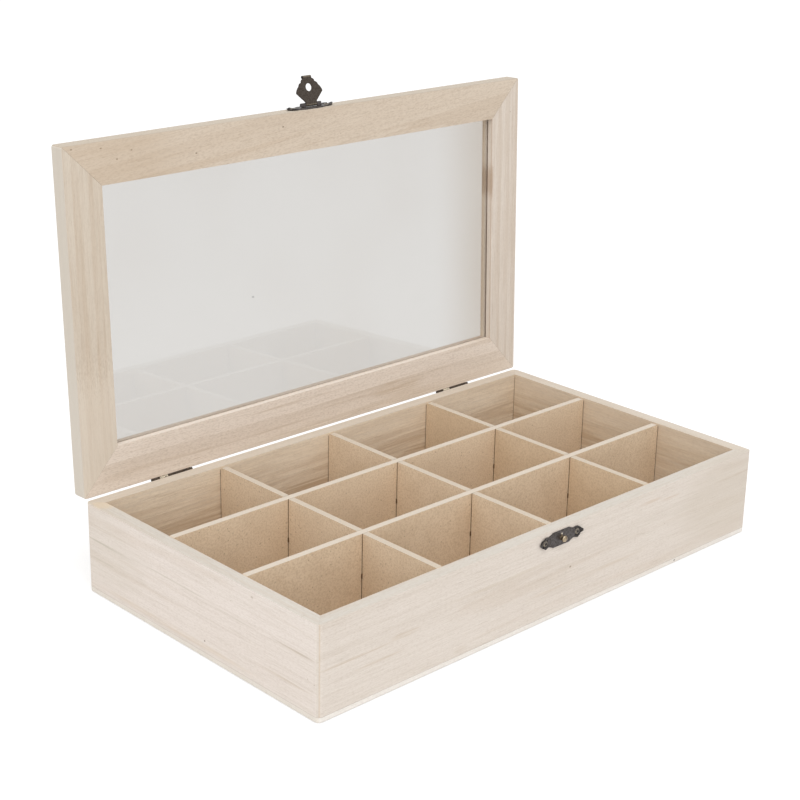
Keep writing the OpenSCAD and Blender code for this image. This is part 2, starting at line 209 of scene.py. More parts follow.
class Bench:
    """Modelling steps done with Blender's operators, in millimetres."""

    @staticmethod
    def clear() -> None:
        """Leaves edit mode and deselects everything."""
        if bpy.context.mode != "OBJECT":
            bpy.ops.object.mode_set(mode="OBJECT")
        bpy.ops.object.select_all(action="DESELECT")

    @staticmethod
    def pick(*pieces: Piece) -> None:
        """Selects these pieces alone, the first one active."""
        Bench.clear()
        for piece in pieces:
            piece.select_set(True)
        bpy.context.view_layer.objects.active = pieces[0]

    @staticmethod
    def named(name: str) -> Piece:
        """Names the piece just added, and applies its place and size.

        Args:
            name: Its name.

        Returns:
            The piece.
        """
        piece = bpy.context.object
        piece.name = name
        piece.data.name = name
        bpy.ops.object.transform_apply(location=True, rotation=True, scale=True)
        return piece

    @staticmethod
    def block(name: str, low: Point, high: Point) -> Piece:
        """Adds a square block.

        Args:
            name: Name of the piece.
            low: Lowest corner.
            high: Highest corner.

        Returns:
            The block.
        """
        Bench.clear()
        size = Vector(high) - Vector(low)
        middle = (Vector(high) + Vector(low)) / 2
        bpy.ops.mesh.primitive_cube_add(size=1, location=middle, scale=size)
        return Bench.named(name)

    @staticmethod
    def rod(name: str, middle: Point, radius: float, length: float, axis: str = "X",
            sides: int = 32) -> Piece:
        """Adds a round rod along an axis.

        Args:
            name: Name of the piece.
            middle: Its middle.
            radius: Its radius.
            length: Its length.
            axis: The axis that it lies along, X, Y or Z.
            sides: How many sides stand for the round.

        Returns:
            The rod.
        """
        Bench.clear()
        turns = {"X": (0.0, math.pi / 2, 0.0), "Y": (math.pi / 2, 0.0, 0.0), "Z": (0.0, 0.0, 0.0)}
        bpy.ops.mesh.primitive_cylinder_add(vertices=sides, radius=radius, depth=length,
                                            location=middle, rotation=turns[axis])
        return Bench.named(name)

    @staticmethod
    def edit(piece: Piece, part: Part, test: Optional[Test] = None) -> int:
        """Opens a piece in edit mode with some of its elements selected.

        Args:
            piece: The piece.
            part: Kind of element.
            test: Says whether an element is selected; without it all are.

        Returns:
            How many are selected.
        """
        Bench.pick(piece)
        bpy.ops.object.mode_set(mode="EDIT")
        bpy.ops.mesh.select_mode(type=part.value)
        bpy.ops.mesh.select_all(action="DESELECT")
        mesh = bmesh.from_edit_mesh(piece.data)
        elements = {Part.FACE: mesh.faces, Part.EDGE: mesh.edges, Part.VERT: mesh.verts}[part]
        count = 0
        for element in elements:
            if test is None or test(element):
                element.select_set(True)
                count += 1
        mesh.select_flush_mode()
        bmesh.update_edit_mesh(piece.data)
        return count

    @staticmethod
    def mark(piece: Piece, tone: Tone) -> None:
        """Writes a tone on the faces that are selected in edit mode.

        Args:
            piece: The piece being edited.
            tone: The tone, or what gives it at a face's middle: above 0 is pale, for wear and for
            painted highlights; below 0 is dark, for seams and for painted shade.
        """
        mesh = bmesh.from_edit_mesh(piece.data)
        layer = mesh.faces.layers.float.get(EDGE_TONE) or mesh.faces.layers.float.new(EDGE_TONE)
        for face in mesh.faces:
            if face.select:
                face[layer] = tone(face.calc_center_median()) if callable(tone) else tone
        bmesh.update_edit_mesh(piece.data)

    @staticmethod
    def stain(piece: Piece, tone: Tone, test: Optional[Test] = None) -> None:
        """Writes a tone on some faces of a piece.

        Args:
            piece: The piece.
            tone: The tone, or what gives it at a face's middle.
            test: Says which faces take it; without it all do.
        """
        Bench.edit(piece, Part.FACE, test)
        Bench.mark(piece, tone)
        Bench.clear()

    @staticmethod
    def bevel(piece: Piece, width: float, segments: int, test: Optional[Test],
              tone: Optional[Tone] = None, part: Part = Part.EDGE) -> None:
        """Bevels some edges or corners of a piece.

        Args:
            piece: The piece.
            width: Width of the bevel.
            segments: Steps across it.
            test: Says which edges or corners it takes; without it all are.
            tone: The tone written on the new faces, if any.
            part: Edges or corners.
        """
        if Bench.edit(piece, part, test):
            affect = "VERTICES" if part is Part.VERT else "EDGES"
            bpy.ops.mesh.bevel(offset=width, segments=segments, affect=affect, clamp_overlap=True)
            if tone is not None:
                Bench.mark(piece, tone)
        Bench.clear()

    @staticmethod
    def cut(piece: Piece, point: Point, normal: Point, through: bool = True) -> None:
        """Cuts a piece by a plane and closes the cut, or only adds a ring of edges there.

        Args:
            piece: The piece.
            point: A point of the plane.
            normal: The plane's normal, on the side that goes.
            through: Whether that side goes.
        """
        Bench.edit(piece, Part.FACE)
        bpy.ops.mesh.bisect(plane_co=point, plane_no=normal, use_fill=through, clear_outer=through,
                            threshold=FINE)
        Bench.clear()

    @staticmethod
    def shift(piece: Piece, test: Test, step: Point) -> None:
        """Moves some corners of a piece.

        Args:
            piece: The piece.
            test: Says which corners move.
            step: The move.
        """
        if Bench.edit(piece, Part.VERT, test):
            bpy.ops.transform.translate(value=step)
        Bench.clear()

    @staticmethod
    def combine(piece: Piece, tool: Piece, join: Join) -> None:
        """Welds a tool solid to a piece or cuts it away, and removes the tool.

        Args:
            piece: The piece.
            tool: The other solid.
            join: Weld or cut.
        """
        Bench.pick(piece)
        modifier = piece.modifiers.new("combine", "BOOLEAN")
        modifier.operation = join.value
        modifier.solver = "EXACT"
        modifier.object = tool
        bpy.ops.object.modifier_apply(modifier=modifier.name)
        bpy.data.objects.remove(tool, do_unlink=True)

    @staticmethod
    def drill(piece: Piece, middle: Point, radius: float, length: float, axis: str = "X",
              sides: int = 32) -> None:
        """Cuts a round hole through a piece, with the middle, radius, length and axis of a rod."""
        Bench.combine(piece, Bench.rod("bore", middle, radius, length, axis, sides), Join.CUT)

    @staticmethod
    def move(piece: Piece, place: Matrix) -> None:
        """Moves a piece and applies its place.

        Args:
            piece: The piece.
            place: The move.
        """
        Bench.pick(piece)
        piece.matrix_world = place
        bpy.ops.object.transform_apply(location=True, rotation=True, scale=True)

    @staticmethod
    def repeat(name: str, piece: Piece, places: Sequence[Matrix]) -> Piece:
        """Makes one piece of several copies of a piece, each with its own mesh, and removes the first.

        Args:
            name: Name of the result.
            piece: The piece.
            places: The place of each copy.

        Returns:
            The copies, joined.
        """
        copies = []
        for place in places:
            twin = piece.copy()
            twin.data = piece.data.copy()
            bpy.context.collection.objects.link(twin)
            Bench.move(twin, place)
            copies.append(twin)
        bpy.data.objects.remove(piece, do_unlink=True)
        return Bench.merge(name, copies)

    @staticmethod
    def merge(name: str, pieces: Sequence[Piece]) -> Piece:
        """Joins pieces into one object.

        Args:
            name: Name of the result.
            pieces: The pieces.

        Returns:
            The joined piece.
        """
        Bench.pick(*pieces)
        bpy.ops.object.join()
        return Bench.named(name)

    @staticmethod
    def turned(name: str, profile: Sequence[Spot], sides: int = 32) -> Piece:
        """Makes a turned solid about the z axis, by extruding and resizing a disc.

        Args:
            name: Name of the piece.
            profile: Radius and height of each ring, from one end to the other.
            sides: How many sides stand for the round.

        Returns:
            The solid.
        """
        Bench.clear()
        radius, height = profile[0]
        bpy.ops.mesh.primitive_circle_add(vertices=sides, radius=radius, fill_type="NGON",
                                          location=(0.0, 0.0, height))
        piece = Bench.named(name)
        Bench.edit(piece, Part.FACE)
        for next_radius, next_height in profile[1:]:
            rise = {"value": (0.0, 0.0, next_height - height)}
            bpy.ops.mesh.extrude_region_move(TRANSFORM_OT_translate=rise)
            share = next_radius / radius
            bpy.ops.transform.resize(value=(share, share, 1.0), center_override=(0.0, 0.0, next_height))
            radius, height = next_radius, next_height
        bpy.ops.mesh.select_all(action="SELECT")
        bpy.ops.mesh.normals_make_consistent(inside=False)
        Bench.clear()
        return piece

    @staticmethod
    def sheet(name: str, outline: Sequence[Spot], thick: float,
              corner: float = 0.0) -> Piece:
        """Makes a flat sheet with its back on z = 0.

        Args:
            name: Name of the piece.
            outline: Corners in x and y, in order.
            thick: Its thickness.
            corner: Radius that softens the outline's corners.

        Returns:
            The sheet.
        """
        Bench.clear()
        bpy.ops.mesh.primitive_circle_add(vertices=len(outline), radius=1.0, fill_type="NGON")
        piece = Bench.named(name)
        for vertex, (x, y) in zip(piece.data.vertices, outline):
            vertex.co = (x, y, 0.0)
        if corner:
            Bench.bevel(piece, corner, 3, None, part=Part.VERT)
        Bench.edit(piece, Part.FACE)
        bpy.ops.mesh.extrude_region_move(TRANSFORM_OT_translate={"value": (0.0, 0.0, thick)})
        bpy.ops.mesh.select_all(action="SELECT")
        bpy.ops.mesh.normals_make_consistent(inside=False)
        Bench.clear()
        return piece

    @staticmethod
    def deliver(piece: Piece, body: Body, slot: Slot, material: Material,
                place: Matrix = CLOSED) -> Piece:
        """Finishes a piece: places it, smooths it, dresses it and hangs it on its body.

        It replaces the CAD node that it was named after.

        Args:
            piece: The piece, in millimetres.
            body: The body that it rides on.
            slot: The material slot that it stands for; not used.
            material: Its material.
            place: The move to its place at rest.

        Returns:
            The finished piece.
        """
        Bench.edit(piece, Part.FACE)
        bpy.ops.mesh.remove_doubles(threshold=WELD)
        bpy.ops.mesh.dissolve_degenerate(threshold=WELD)
        bpy.ops.mesh.select_all(action="SELECT")
        bpy.ops.mesh.normals_make_consistent(inside=False)
        Bench.move(piece, Matrix.Scale(MM, 4) @ place)
        bpy.ops.object.shade_smooth_by_angle(angle=SMOOTH_ANGLE)
        weighted = piece.modifiers.new("weighted", "WEIGHTED_NORMAL")
        weighted.keep_sharp = True
        bpy.ops.object.modifier_apply(modifier=weighted.name)
        piece.data.materials.clear()
        piece.data.materials.append(material)
        node = piece.name.split(".")[0]
        piece.name = node + "_piece"
        piece.data.name = piece.name
        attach(piece, body.value)
        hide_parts(node)
        LOG.info("%s: %d faces on %s", piece.name, len(piece.data.polygons), body.value)
        return piece


@dataclass(frozen=True)
class Mark:
    """A spot or a streak on a surface, in millimetres; a half size of 0 ignores that axis."""

    at: Point
    halves: Point
    colour: Colour = paint(140, 116, 90)
    depth: float = 0.6
    lined: bool = True


@dataclass(frozen=True)
class Layer:
    """A noise pattern and the part of it that shows.

    Scale is in repeats per millimetre. The pattern shows from low upwards, fully at high.
    """

    scale: Point
    detail: float
    rough: float
    bend: float
    low: float
    high: float


class Recipe:
    """Builds one node material, step by step."""

    def __init__(self, name: str) -> None:
        """Starts an empty material.

        Args:
            name: Its name.
        """
        self.material = bpy.data.materials.new(name)
        self.material.use_nodes = True
        self.tree = self.material.node_tree
        self.tree.nodes.clear()

    def add(self, kind: str, inputs: dict[Union[str, int], Input],
            **settings: object) -> bpy.types.Node:
        """Adds a node.

        Args:
            kind: Its type, without the common prefix.
            inputs: Values or sockets for its inputs, by name or number.
            **settings: Its other settings.

        Returns:
            The node.
        """
        node = self.tree.nodes.new("ShaderNode" + kind)
        for name, value in settings.items():
            setattr(node, name, value)
        for key, value in inputs.items():
            if isinstance(value, Socket):
                self.tree.links.new(value, node.inputs[key])
            else:
                node.inputs[key].default_value = value
        return node

    def place(self, on_lid: bool) -> Socket:
        """Gives the closed place of a point, in millimetres.

        Args:
            on_lid: Whether the piece stands open with the lid.

        Returns:
            The point.
        """
        back = OPENED.inverted() if on_lid else CLOSED
        here = self.add("TexCoord", {}).outputs["Object"]
        move = {"Vector": here, "Location": tuple(back.translation),
                "Rotation": tuple(back.to_euler()), "Scale": (1 / MM,) * 3}
        return self.add("Mapping", move, vector_type="POINT").outputs[0]

    def moved(self, point: Input, shift: Point, turn: float = 0.0,
              scale: Point = (1.0, 1.0, 1.0)) -> Socket:
        """Scales, turns about z and shifts a point, in that order."""
        move = {"Vector": point, "Location": shift, "Rotation": (0.0, 0.0, math.radians(turn)),
                "Scale": scale}
        return self.add("Mapping", move, vector_type="POINT").outputs[0]

    def noise(self, point: Input, layer: Layer) -> Socket:
        """Gives a layer's noise, about 0.5."""
        inputs = {"Vector": self.moved(point, (0.0, 0.0, 0.0), scale=layer.scale), "Scale": 1.0,
                  "Detail": layer.detail, "Roughness": layer.rough, "Distortion": layer.bend}
        return self.add("TexNoise", inputs).outputs[0]

    def shown(self, noise: Input, layer: Layer, depth: float = 1.0) -> Socket:
        """Gives the part of a layer's noise that shows, up to a depth."""
        return self.range(noise, layer.low, layer.high, 0.0, depth)

    def range(self, value: Input, low: float, high: float, to_low: float = 0.0,
              to_high: float = 1.0) -> Socket:
        """Maps a value from one range to another, smoothly and clamped."""
        inputs = {0: value, 1: low, 2: high, 3: to_low, 4: to_high}
        return self.add("MapRange", inputs, interpolation_type="SMOOTHSTEP").outputs[0]

    def calc(self, operation: str, first: Input, second: Input = 0.0) -> Socket:
        """Works out one step of arithmetic."""
        return self.add("Math", {0: first, 1: second}, operation=operation).outputs[0]

    def times(self, first: Input, second: Input) -> Socket:
        """Multiplies two values."""
        return self.calc("MULTIPLY", first, second)

    def blend(self, colour: Input, *coats: tuple[Input, Input]) -> Socket:
        """Lays coats of colour over a colour.

        Args:
            colour: The colour underneath.
            *coats: The share and the colour of each coat, in order.

        Returns:
            The colour.
        """
        for share, coat in coats:
            inputs = {0: share, 6: colour, 7: coat}
            colour = self.add("Mix", inputs, data_type="RGBA").outputs[2]
        return colour

    def specks(self, point: Input, pitch: float, size: float, share: float) -> Socket:
        """Gives small scattered dots.

        Args:
            point: Where they are read.
            pitch: Distance between possible dots.
            size: Radius of a dot.
            share: Share of the places that have one.

        Returns:
            1 in a dot and 0 outside.
        """
        cells = self.add("TexVoronoi", {"Vector": point, "Scale": 1 / pitch, "Randomness": 1.0})
        dot = self.range(cells.outputs["Distance"], size / pitch, 0.5 * size / pitch)
        chance = self.add("SeparateColor", {0: cells.outputs["Color"]}).outputs[0]
        return self.times(dot, self.calc("LESS_THAN", chance, share))

    def spot(self, point: Input, mark: Mark, ragged: Input) -> Socket:
        """Gives a mark's share of the colour.

        Args:
            point: Where it is read.
            mark: The mark.
            ragged: Noise that frays its outline.

        Returns:
            The mark's depth in its middle and 0 outside.
        """
        scale = tuple(1 / half if half else 0.0 for half in mark.halves)
        shift = tuple(-place * share for place, share in zip(mark.at, scale))
        near = self.moved(point, shift, scale=scale)
        reach = self.add("VectorMath", {0: near}, operation="LENGTH").outputs["Value"]
        frayed = self.calc("ADD", reach, self.times(ragged, FRAY))
        return self.range(frayed, *FRAY_SPAN, 0.0, mark.depth)

    def joints(self, along: Input, lines: Sequence[Spot]) -> Socket:
        """Gives how far a point lies from the nearest board that meets this one.

        Args:
            along: Place along this board.
            lines: Middle and half thickness of each board that meets it, on both sides of 0.

        Returns:
            The distance, in millimetres.
        """
        side = self.calc("ABSOLUTE", along)
        nearest: Input = FAR
        for middle, half in lines:
            off = self.calc("ABSOLUTE", self.calc("SUBTRACT", side, middle))
            nearest = self.calc("MINIMUM", nearest, self.calc("SUBTRACT", off, half))
        return nearest

    def edge_tone(self) -> tuple[Socket, Socket]:
        """Gives the piece's pale share, for wear and painted highlights, and its dark share, for
        seams and painted shade, each 0 to 1.
        """
        tone = self.add("Attribute", {}, attribute_name=EDGE_TONE).outputs["Fac"]
        worn = self.calc("MAXIMUM", tone, 0.0)
        seam = self.calc("MAXIMUM", self.times(tone, -1.0), 0.0)
        return worn, seam

    def bump(self, height: Input, distance: float, strength: float = 1.0) -> Socket:
        """Turns a height into a bumped normal.

        Args:
            height: The height, 0 to 1.
            distance: What a height of 1 stands for, in millimetres.
            strength: How far the bump counts.

        Returns:
            The normal.
        """
        inputs = {"Height": height, "Distance": distance * MM, "Strength": strength}
        return self.add("Bump", inputs).outputs[0]

    def finish(self, **inputs: Input) -> Material:
        """Adds the shader and the output.

        Args:
            **inputs: The shader's inputs, their spaces written as underscores.

        Returns:
            The material.
        """
        named = {key.replace("_", " "): value for key, value in inputs.items()}
        shader = self.add("BsdfPrincipled", named)
        self.add("OutputMaterial", {"Surface": shader.outputs[0]})
        return self.material


# The patterns of the wood's grain, finest streaks to broad patches.
FIBRE = Layer((0.018, 0.7, 0.7), 3.0, 0.62, 0.4, 0.42, 0.72)
HAIR = Layer((0.09, 3.2, 3.2), 2.0, 0.55, 0.0, 0.35, 0.75)
DASH = Layer((0.06, 1.5, 1.5), 1.0, 0.5, 0.0, 0.60, 0.74)
BROAD = Layer((0.006, 0.035, 0.035), 1.0, 0.5, 0.0, 0.35, 0.70)
GRIT = Layer((0.5, 1.5, 1.5), 2.0, 0.6, 0.0, 0.40, 0.75)
LINES = Layer((0.03, 1.1, 1.1), 2.0, 0.6, 0.0, 0.36, 0.56)
WAVY = Layer((0.014, 0.26, 0.26), 4.0, 0.65, 0.9, 0.36, 0.72)


@dataclass(frozen=True)
class WoodFinish:
    """Raw pale wood with soft growth rings, fibre lines, tan streaks and pin-holes."""

    light: Colour = paint(228, 219, 208)
    dark: Colour = paint(203, 190, 175)
    streak: Colour = paint(203, 184, 163)
    pore: Colour = paint(168, 148, 126)
    # The pale colour serves wear, pale patches and painted highlights on edges; the seam colour serves
    # dark joints and painted shade.
    worn: Colour = paint(240, 234, 226)
    seam: Colour = paint(110, 88, 68)
    grain: Grain = Grain.ALONG_X
    skew: float = 0.0
    heart: Spot = (-40.0, 60.0)
    seed: float = 0.0
    seed_shift: Point = (137.0, 53.0, 31.0)
    on_lid: bool = False
    ring_pitch: float = 8.0
    ring_stretch: float = 0.05
    ring_span: Spot = (0.35, 1.0)
    ring_depth: float = 0.22
    fibre_depth: float = 0.24
    dash_depth: float = 0.14
    grit_depth: float = 0.16
    streak_depth: float = 0.30
    hair_depth: float = 0.08
    broad_depth: float = 0.10
    band_pitch: float = 10.0
    relief: float = 0.6
    relief_height: float = 0.12
    speck_pitch: float = 5.0
    speck_size: float = 0.42
    speck_share: float = 0.04
    speck_depth: float = 0.6
    wear_and_highlight_depth: float = 0.35
    seam_and_shade_depth: float = 0.8
    line_least: float = 0.15
    rough_span: Spot = (0.58, 0.74)
    lining_streak_and_shade: Colour = paint(186, 158, 126)
    lining_shade_depths: Spot = (0.22, 0.8)
    lining_reach: Spot = (4.0, 32.0)
    joint_half: Spot = (0.5, 0.15)
    joint_top: Spot = (1.4, 2.4)
    joint_depth: float = 0.5
    # The lining colour is painted warm bounce light and shade inside the cells.
    inner: Optional[Colour] = None
    # The rim colour is painted shade that offsets the strong light on the top faces.
    rim: Optional[Colour] = None
    marks: tuple[Mark, ...] = ()

    def material(self, name: str) -> Material:
        """Makes the material.

        Args:
            name: Its name.

        Returns:
            The material.
        """
        recipe = Recipe(name)
        place = recipe.place(self.on_lid)
        along, across, deep = (self.seed * shift for shift in self.seed_shift)
        turned = recipe.moved(place, (along, 0.0, 0.0), turn=self.grain.value + self.skew)
        board = recipe.moved(turned, (0.0, across, deep))
        fibre, hair, grit = (recipe.noise(board, layer) for layer in (FIBRE, HAIR, GRIT))
        dash = recipe.shown(recipe.noise(board, DASH), DASH)
        pitch = 1 / self.band_pitch
        bands = Layer((BROAD.scale[0], pitch, pitch), 2.0, 0.5, 0.6, 0.54, 0.68)
        band = recipe.shown(recipe.noise(board, bands), bands)
        specks = recipe.specks(board, self.speck_pitch, self.speck_size, self.speck_share)
        colour = recipe.blend(
            self.ground(recipe, place),
            (recipe.times(self.rings(recipe, turned), self.ring_depth), self.dark),
            (recipe.shown(fibre, FIBRE, self.fibre_depth), self.dark),
            (recipe.times(band, self.streak_depth), self.streak),
            (recipe.times(dash, self.dash_depth), self.pore),
            (recipe.shown(grit, GRIT, self.grit_depth), self.pore),
            (recipe.shown(recipe.noise(board, BROAD), BROAD, self.broad_depth), self.worn),
            (recipe.shown(hair, HAIR, self.hair_depth), self.pore),
            (recipe.times(specks, self.speck_depth), self.pore))
        if self.inner:
            colour = self.line_box(recipe, place, board, colour)
        lines = recipe.range(recipe.noise(board, LINES), LINES.low, LINES.high, self.line_least, 1.0)
        for mark in self.marks:
            share = recipe.spot(place, mark, grit)
            if mark.lined:
                share = recipe.times(share, lines)
            colour = recipe.blend(colour, (share, mark.colour))
        # The pale share is wear and painted highlights on edges; the dark share is seams and painted
        # shade.
        worn, seam = recipe.edge_tone()
        colour = recipe.blend(colour, (recipe.times(worn, self.wear_and_highlight_depth), self.worn),
                              (recipe.times(seam, self.seam_and_shade_depth), self.seam))
        pits = recipe.calc("ADD", dash, recipe.times(hair, 0.7))
        height = recipe.calc("SUBTRACT", recipe.times(fibre, 0.8), pits)
        rough = recipe.range(fibre, 0.3, 0.7, *self.rough_span)
        return recipe.finish(Base_Color=colour, Roughness=rough, Specular_IOR_Level=0.25,
                             Normal=recipe.bump(height, self.relief_height, self.relief))

    def ground(self, recipe: Recipe, place: Socket) -> Input:
        """Gives the colour under the grain: the wood's own, the lining's, which is painted bounce
        light and shade, or the rim's, which is painted shade.

        Args:
            recipe: The material being made.
            place: The point, in millimetres.

        Returns:
            The colour.
        """
        colour: Input = self.light
        if self.inner:
            colour = recipe.blend(colour, (self.inside(recipe, place), self.inner))
        if self.rim:
            height = recipe.add("SeparateXYZ", {0: place}).outputs[2]
            top = recipe.range(height, PLAN.height - 0.2, PLAN.height - 0.05)
            colour = recipe.blend(colour, (top, self.rim))
        return colour

    def rings(self, recipe: Recipe, turned: Socket) -> Socket:
        """Gives the growth rings about the board's heart.

        Args:
            recipe: The material being made.
            turned: The point along the grain.

        Returns:
            1 in the late wood and 0 in the early wood.
        """
        heart = recipe.moved(turned, (0.0, -self.heart[0], -self.heart[1]),
                             scale=(self.ring_stretch, 1.0, 1.0))
        wave = {"Vector": heart, "Scale": 2 * math.pi / (20 * self.ring_pitch), "Distortion": 5.5,
                "Detail": 2.0, "Detail Scale": 0.7, "Detail Roughness": 0.55}
        rings = recipe.add("TexWave", wave, wave_type="RINGS", rings_direction="X",
                           wave_profile="SAW").outputs["Fac"]
        return recipe.range(rings, *self.ring_span)

    def line_box(self, recipe: Recipe, place: Socket, board: Socket, colour: Socket) -> Socket:
        """Adds what shows only inside the box: brown wavy streaks, deepened towards the bottom as
        painted shade, and dark lines at the joints.

        Args:
            recipe: The material being made.
            place: The point, in millimetres.
            board: The point along the grain.
            colour: The colour so far.

        Returns:
            The colour.
        """
        axes = recipe.add("SeparateXYZ", {0: place}).outputs
        lining = self.inside(recipe, place)
        wavy = recipe.shown(recipe.noise(board, WAVY), WAVY)
        start, end = (PLAN.height - reach for reach in self.lining_reach)
        # The streaks grow stronger towards the bottom: painted shade.
        deep = recipe.range(axes[2], start, end, *self.lining_shade_depths)
        streak = recipe.times(lining, recipe.times(wavy, deep))
        long = self.grain is Grain.ALONG_X
        off = recipe.joints(axes[0] if long else axes[1], CROSS_LINES if long else LONG_LINES)
        near = recipe.range(off, *self.joint_half, 0.0, self.joint_depth)
        start, end = (PLAN.height - drop for drop in self.joint_top)
        line = recipe.times(recipe.times(near, recipe.range(axes[2], start, end)), lining)
        return recipe.blend(colour, (streak, self.lining_streak_and_shade), (line, JOINT_LINE))

    @staticmethod
    def inside(recipe: Recipe, place: Socket) -> Socket:
        """Gives 1 on the faces that line the box and 0 outside.

        Args:
            recipe: The material being made.
            place: The point, in millimetres.

        Returns:
            The share.
        """
        axes = recipe.add("SeparateXYZ", {0: place}).outputs
        past_x, past_y = (recipe.calc("SUBTRACT", recipe.calc("ABSOLUTE", axis), size / 2 - PLAN.wall)
                          for axis, size in zip(axes, (PLAN.width, PLAN.depth)))
        above = recipe.range(axes[2], 0.4 * PLAN.base, 0.6 * PLAN.base)
        return recipe.times(above, recipe.range(recipe.calc("MAXIMUM", past_x, past_y), 0.3, 0.1))


@dataclass(frozen=True)
class FibreboardFinish:
    """Brown fibreboard with flecks and short fibres, and pale sawn upper edges."""

    face: Colour = paint(228, 208, 182)
    fleck: Colour = paint(190, 164, 133)
    fibre: Colour = paint(130, 104, 78)
    edge: Colour = paint(212, 201, 187)
    seed: float = 0.0
    across: bool = False
    fine: Layer = Layer((0.9, 0.9, 0.9), 3.0, 0.7, 0.0, 0.40, 0.66)
    broad: Layer = Layer((0.05, 0.05, 0.05), 2.0, 0.5, 0.0, 0.35, 0.70)
    fleck_depths: Spot = (0.5, 0.18)
    fibre_pitch: float = 3.2
    fibre_size: float = 0.5
    fibre_share: float = 0.4
    fibre_depth: float = 0.5
    line_half: Spot = (0.45, 0.1)
    line_depth: float = 0.8
    notch_half: Spot = (0.8, 0.4)
    notch_height: Spot = (2.0, 1.2)
    sawn_drop: Spot = (0.22, 0.08)
    sawn_fleck: float = 0.35
    rough_span: Spot = (0.66, 0.82)

    def material(self, name: str) -> Material:
        """Makes the material.

        Args:
            name: Its name.

        Returns:
            The material.
        """
        recipe = Recipe(name)
        here = recipe.place(False)
        place = recipe.moved(here, (self.seed, 0.0, 0.0))
        fine, broad = recipe.noise(place, self.fine), recipe.noise(place, self.broad)
        bits = recipe.specks(place, self.fibre_pitch, self.fibre_size, self.fibre_share)
        axes = recipe.add("SeparateXYZ", {0: here}).outputs
        lines = LONG_LINES if self.across else CROSS_LINES
        near = recipe.joints(axes[1] if self.across else axes[0], lines[:-1])
        line = recipe.range(near, *self.line_half, 0.0, self.line_depth)
        off_middle = recipe.calc("ABSOLUTE", recipe.calc("SUBTRACT", axes[2], PLAN.divider_middle))
        notch = recipe.times(recipe.range(off_middle, *self.notch_height),
                             recipe.range(near, *self.notch_half))
        sawn = recipe.range(axes[2], *(PLAN.divider_top - drop for drop in self.sawn_drop))
        edge = recipe.blend(self.edge, (recipe.range(fine, 0.4, 0.7, 0.0, self.sawn_fleck), self.face))
        colour = recipe.blend(
            self.face,
            (recipe.shown(fine, self.fine, self.fleck_depths[0]), self.fleck),
            (recipe.shown(broad, self.broad, self.fleck_depths[1]), self.fleck),
            (recipe.times(bits, self.fibre_depth), self.fibre),
            (recipe.calc("MAXIMUM", line, notch), JOINT_LINE),
            (sawn, edge))
        rough = recipe.range(fine, 0.3, 0.7, *self.rough_span)
        return recipe.finish(Base_Color=colour, Roughness=rough, Specular_IOR_Level=0.2,
                             Normal=recipe.bump(fine, 0.1, 0.5))


@dataclass(frozen=True)
class PaneFinish:
    """Clear sheet, a little grey, with a faint cloud of dust and a band of painted shade along
    its right edge.
    """

    tint: Colour = paint(208, 206, 203)
    haze_and_shade: Colour = paint(187, 178, 168)
    edge_shade_start: Spot = (100.0, 154.0)
    edge_shade_end: Spot = (150.0, 146.0)
    edge_shade_depth: float = 0.8
    cloud: Layer = Layer((0.012, 0.012, 0.012), 1.0, 0.5, 0.0, 0.35, 0.75)
    cloud_depth: float = 0.12
    speck: Mark = Mark((-47.3, 7.2, 0.0), (0.9, 0.6, 0.0), paint(120, 116, 112), 0.8)

    def material(self, name: str) -> Material:
        """Makes the material.

        Args:
            name: Its name.

        Returns:
            The material.
        """
        recipe = Recipe(name)
        place = recipe.place(True)
        across = recipe.add("SeparateXYZ", {0: place}).outputs[0]
        # A band of painted shade near the right edge, laid over the cloud of dust.
        side = recipe.times(recipe.range(across, *self.edge_shade_start),
                            recipe.range(across, *self.edge_shade_end))
        cloud = recipe.noise(place, self.cloud)
        share = recipe.calc("ADD", recipe.times(side, self.edge_shade_depth),
                            recipe.shown(cloud, self.cloud, self.cloud_depth))
        colour = recipe.blend(self.tint, (share, self.haze_and_shade),
                              (recipe.spot(place, self.speck, cloud), self.speck.colour))
        return recipe.finish(Base_Color=colour, Roughness=0.0, IOR=1.49, Transmission_Weight=1.0)


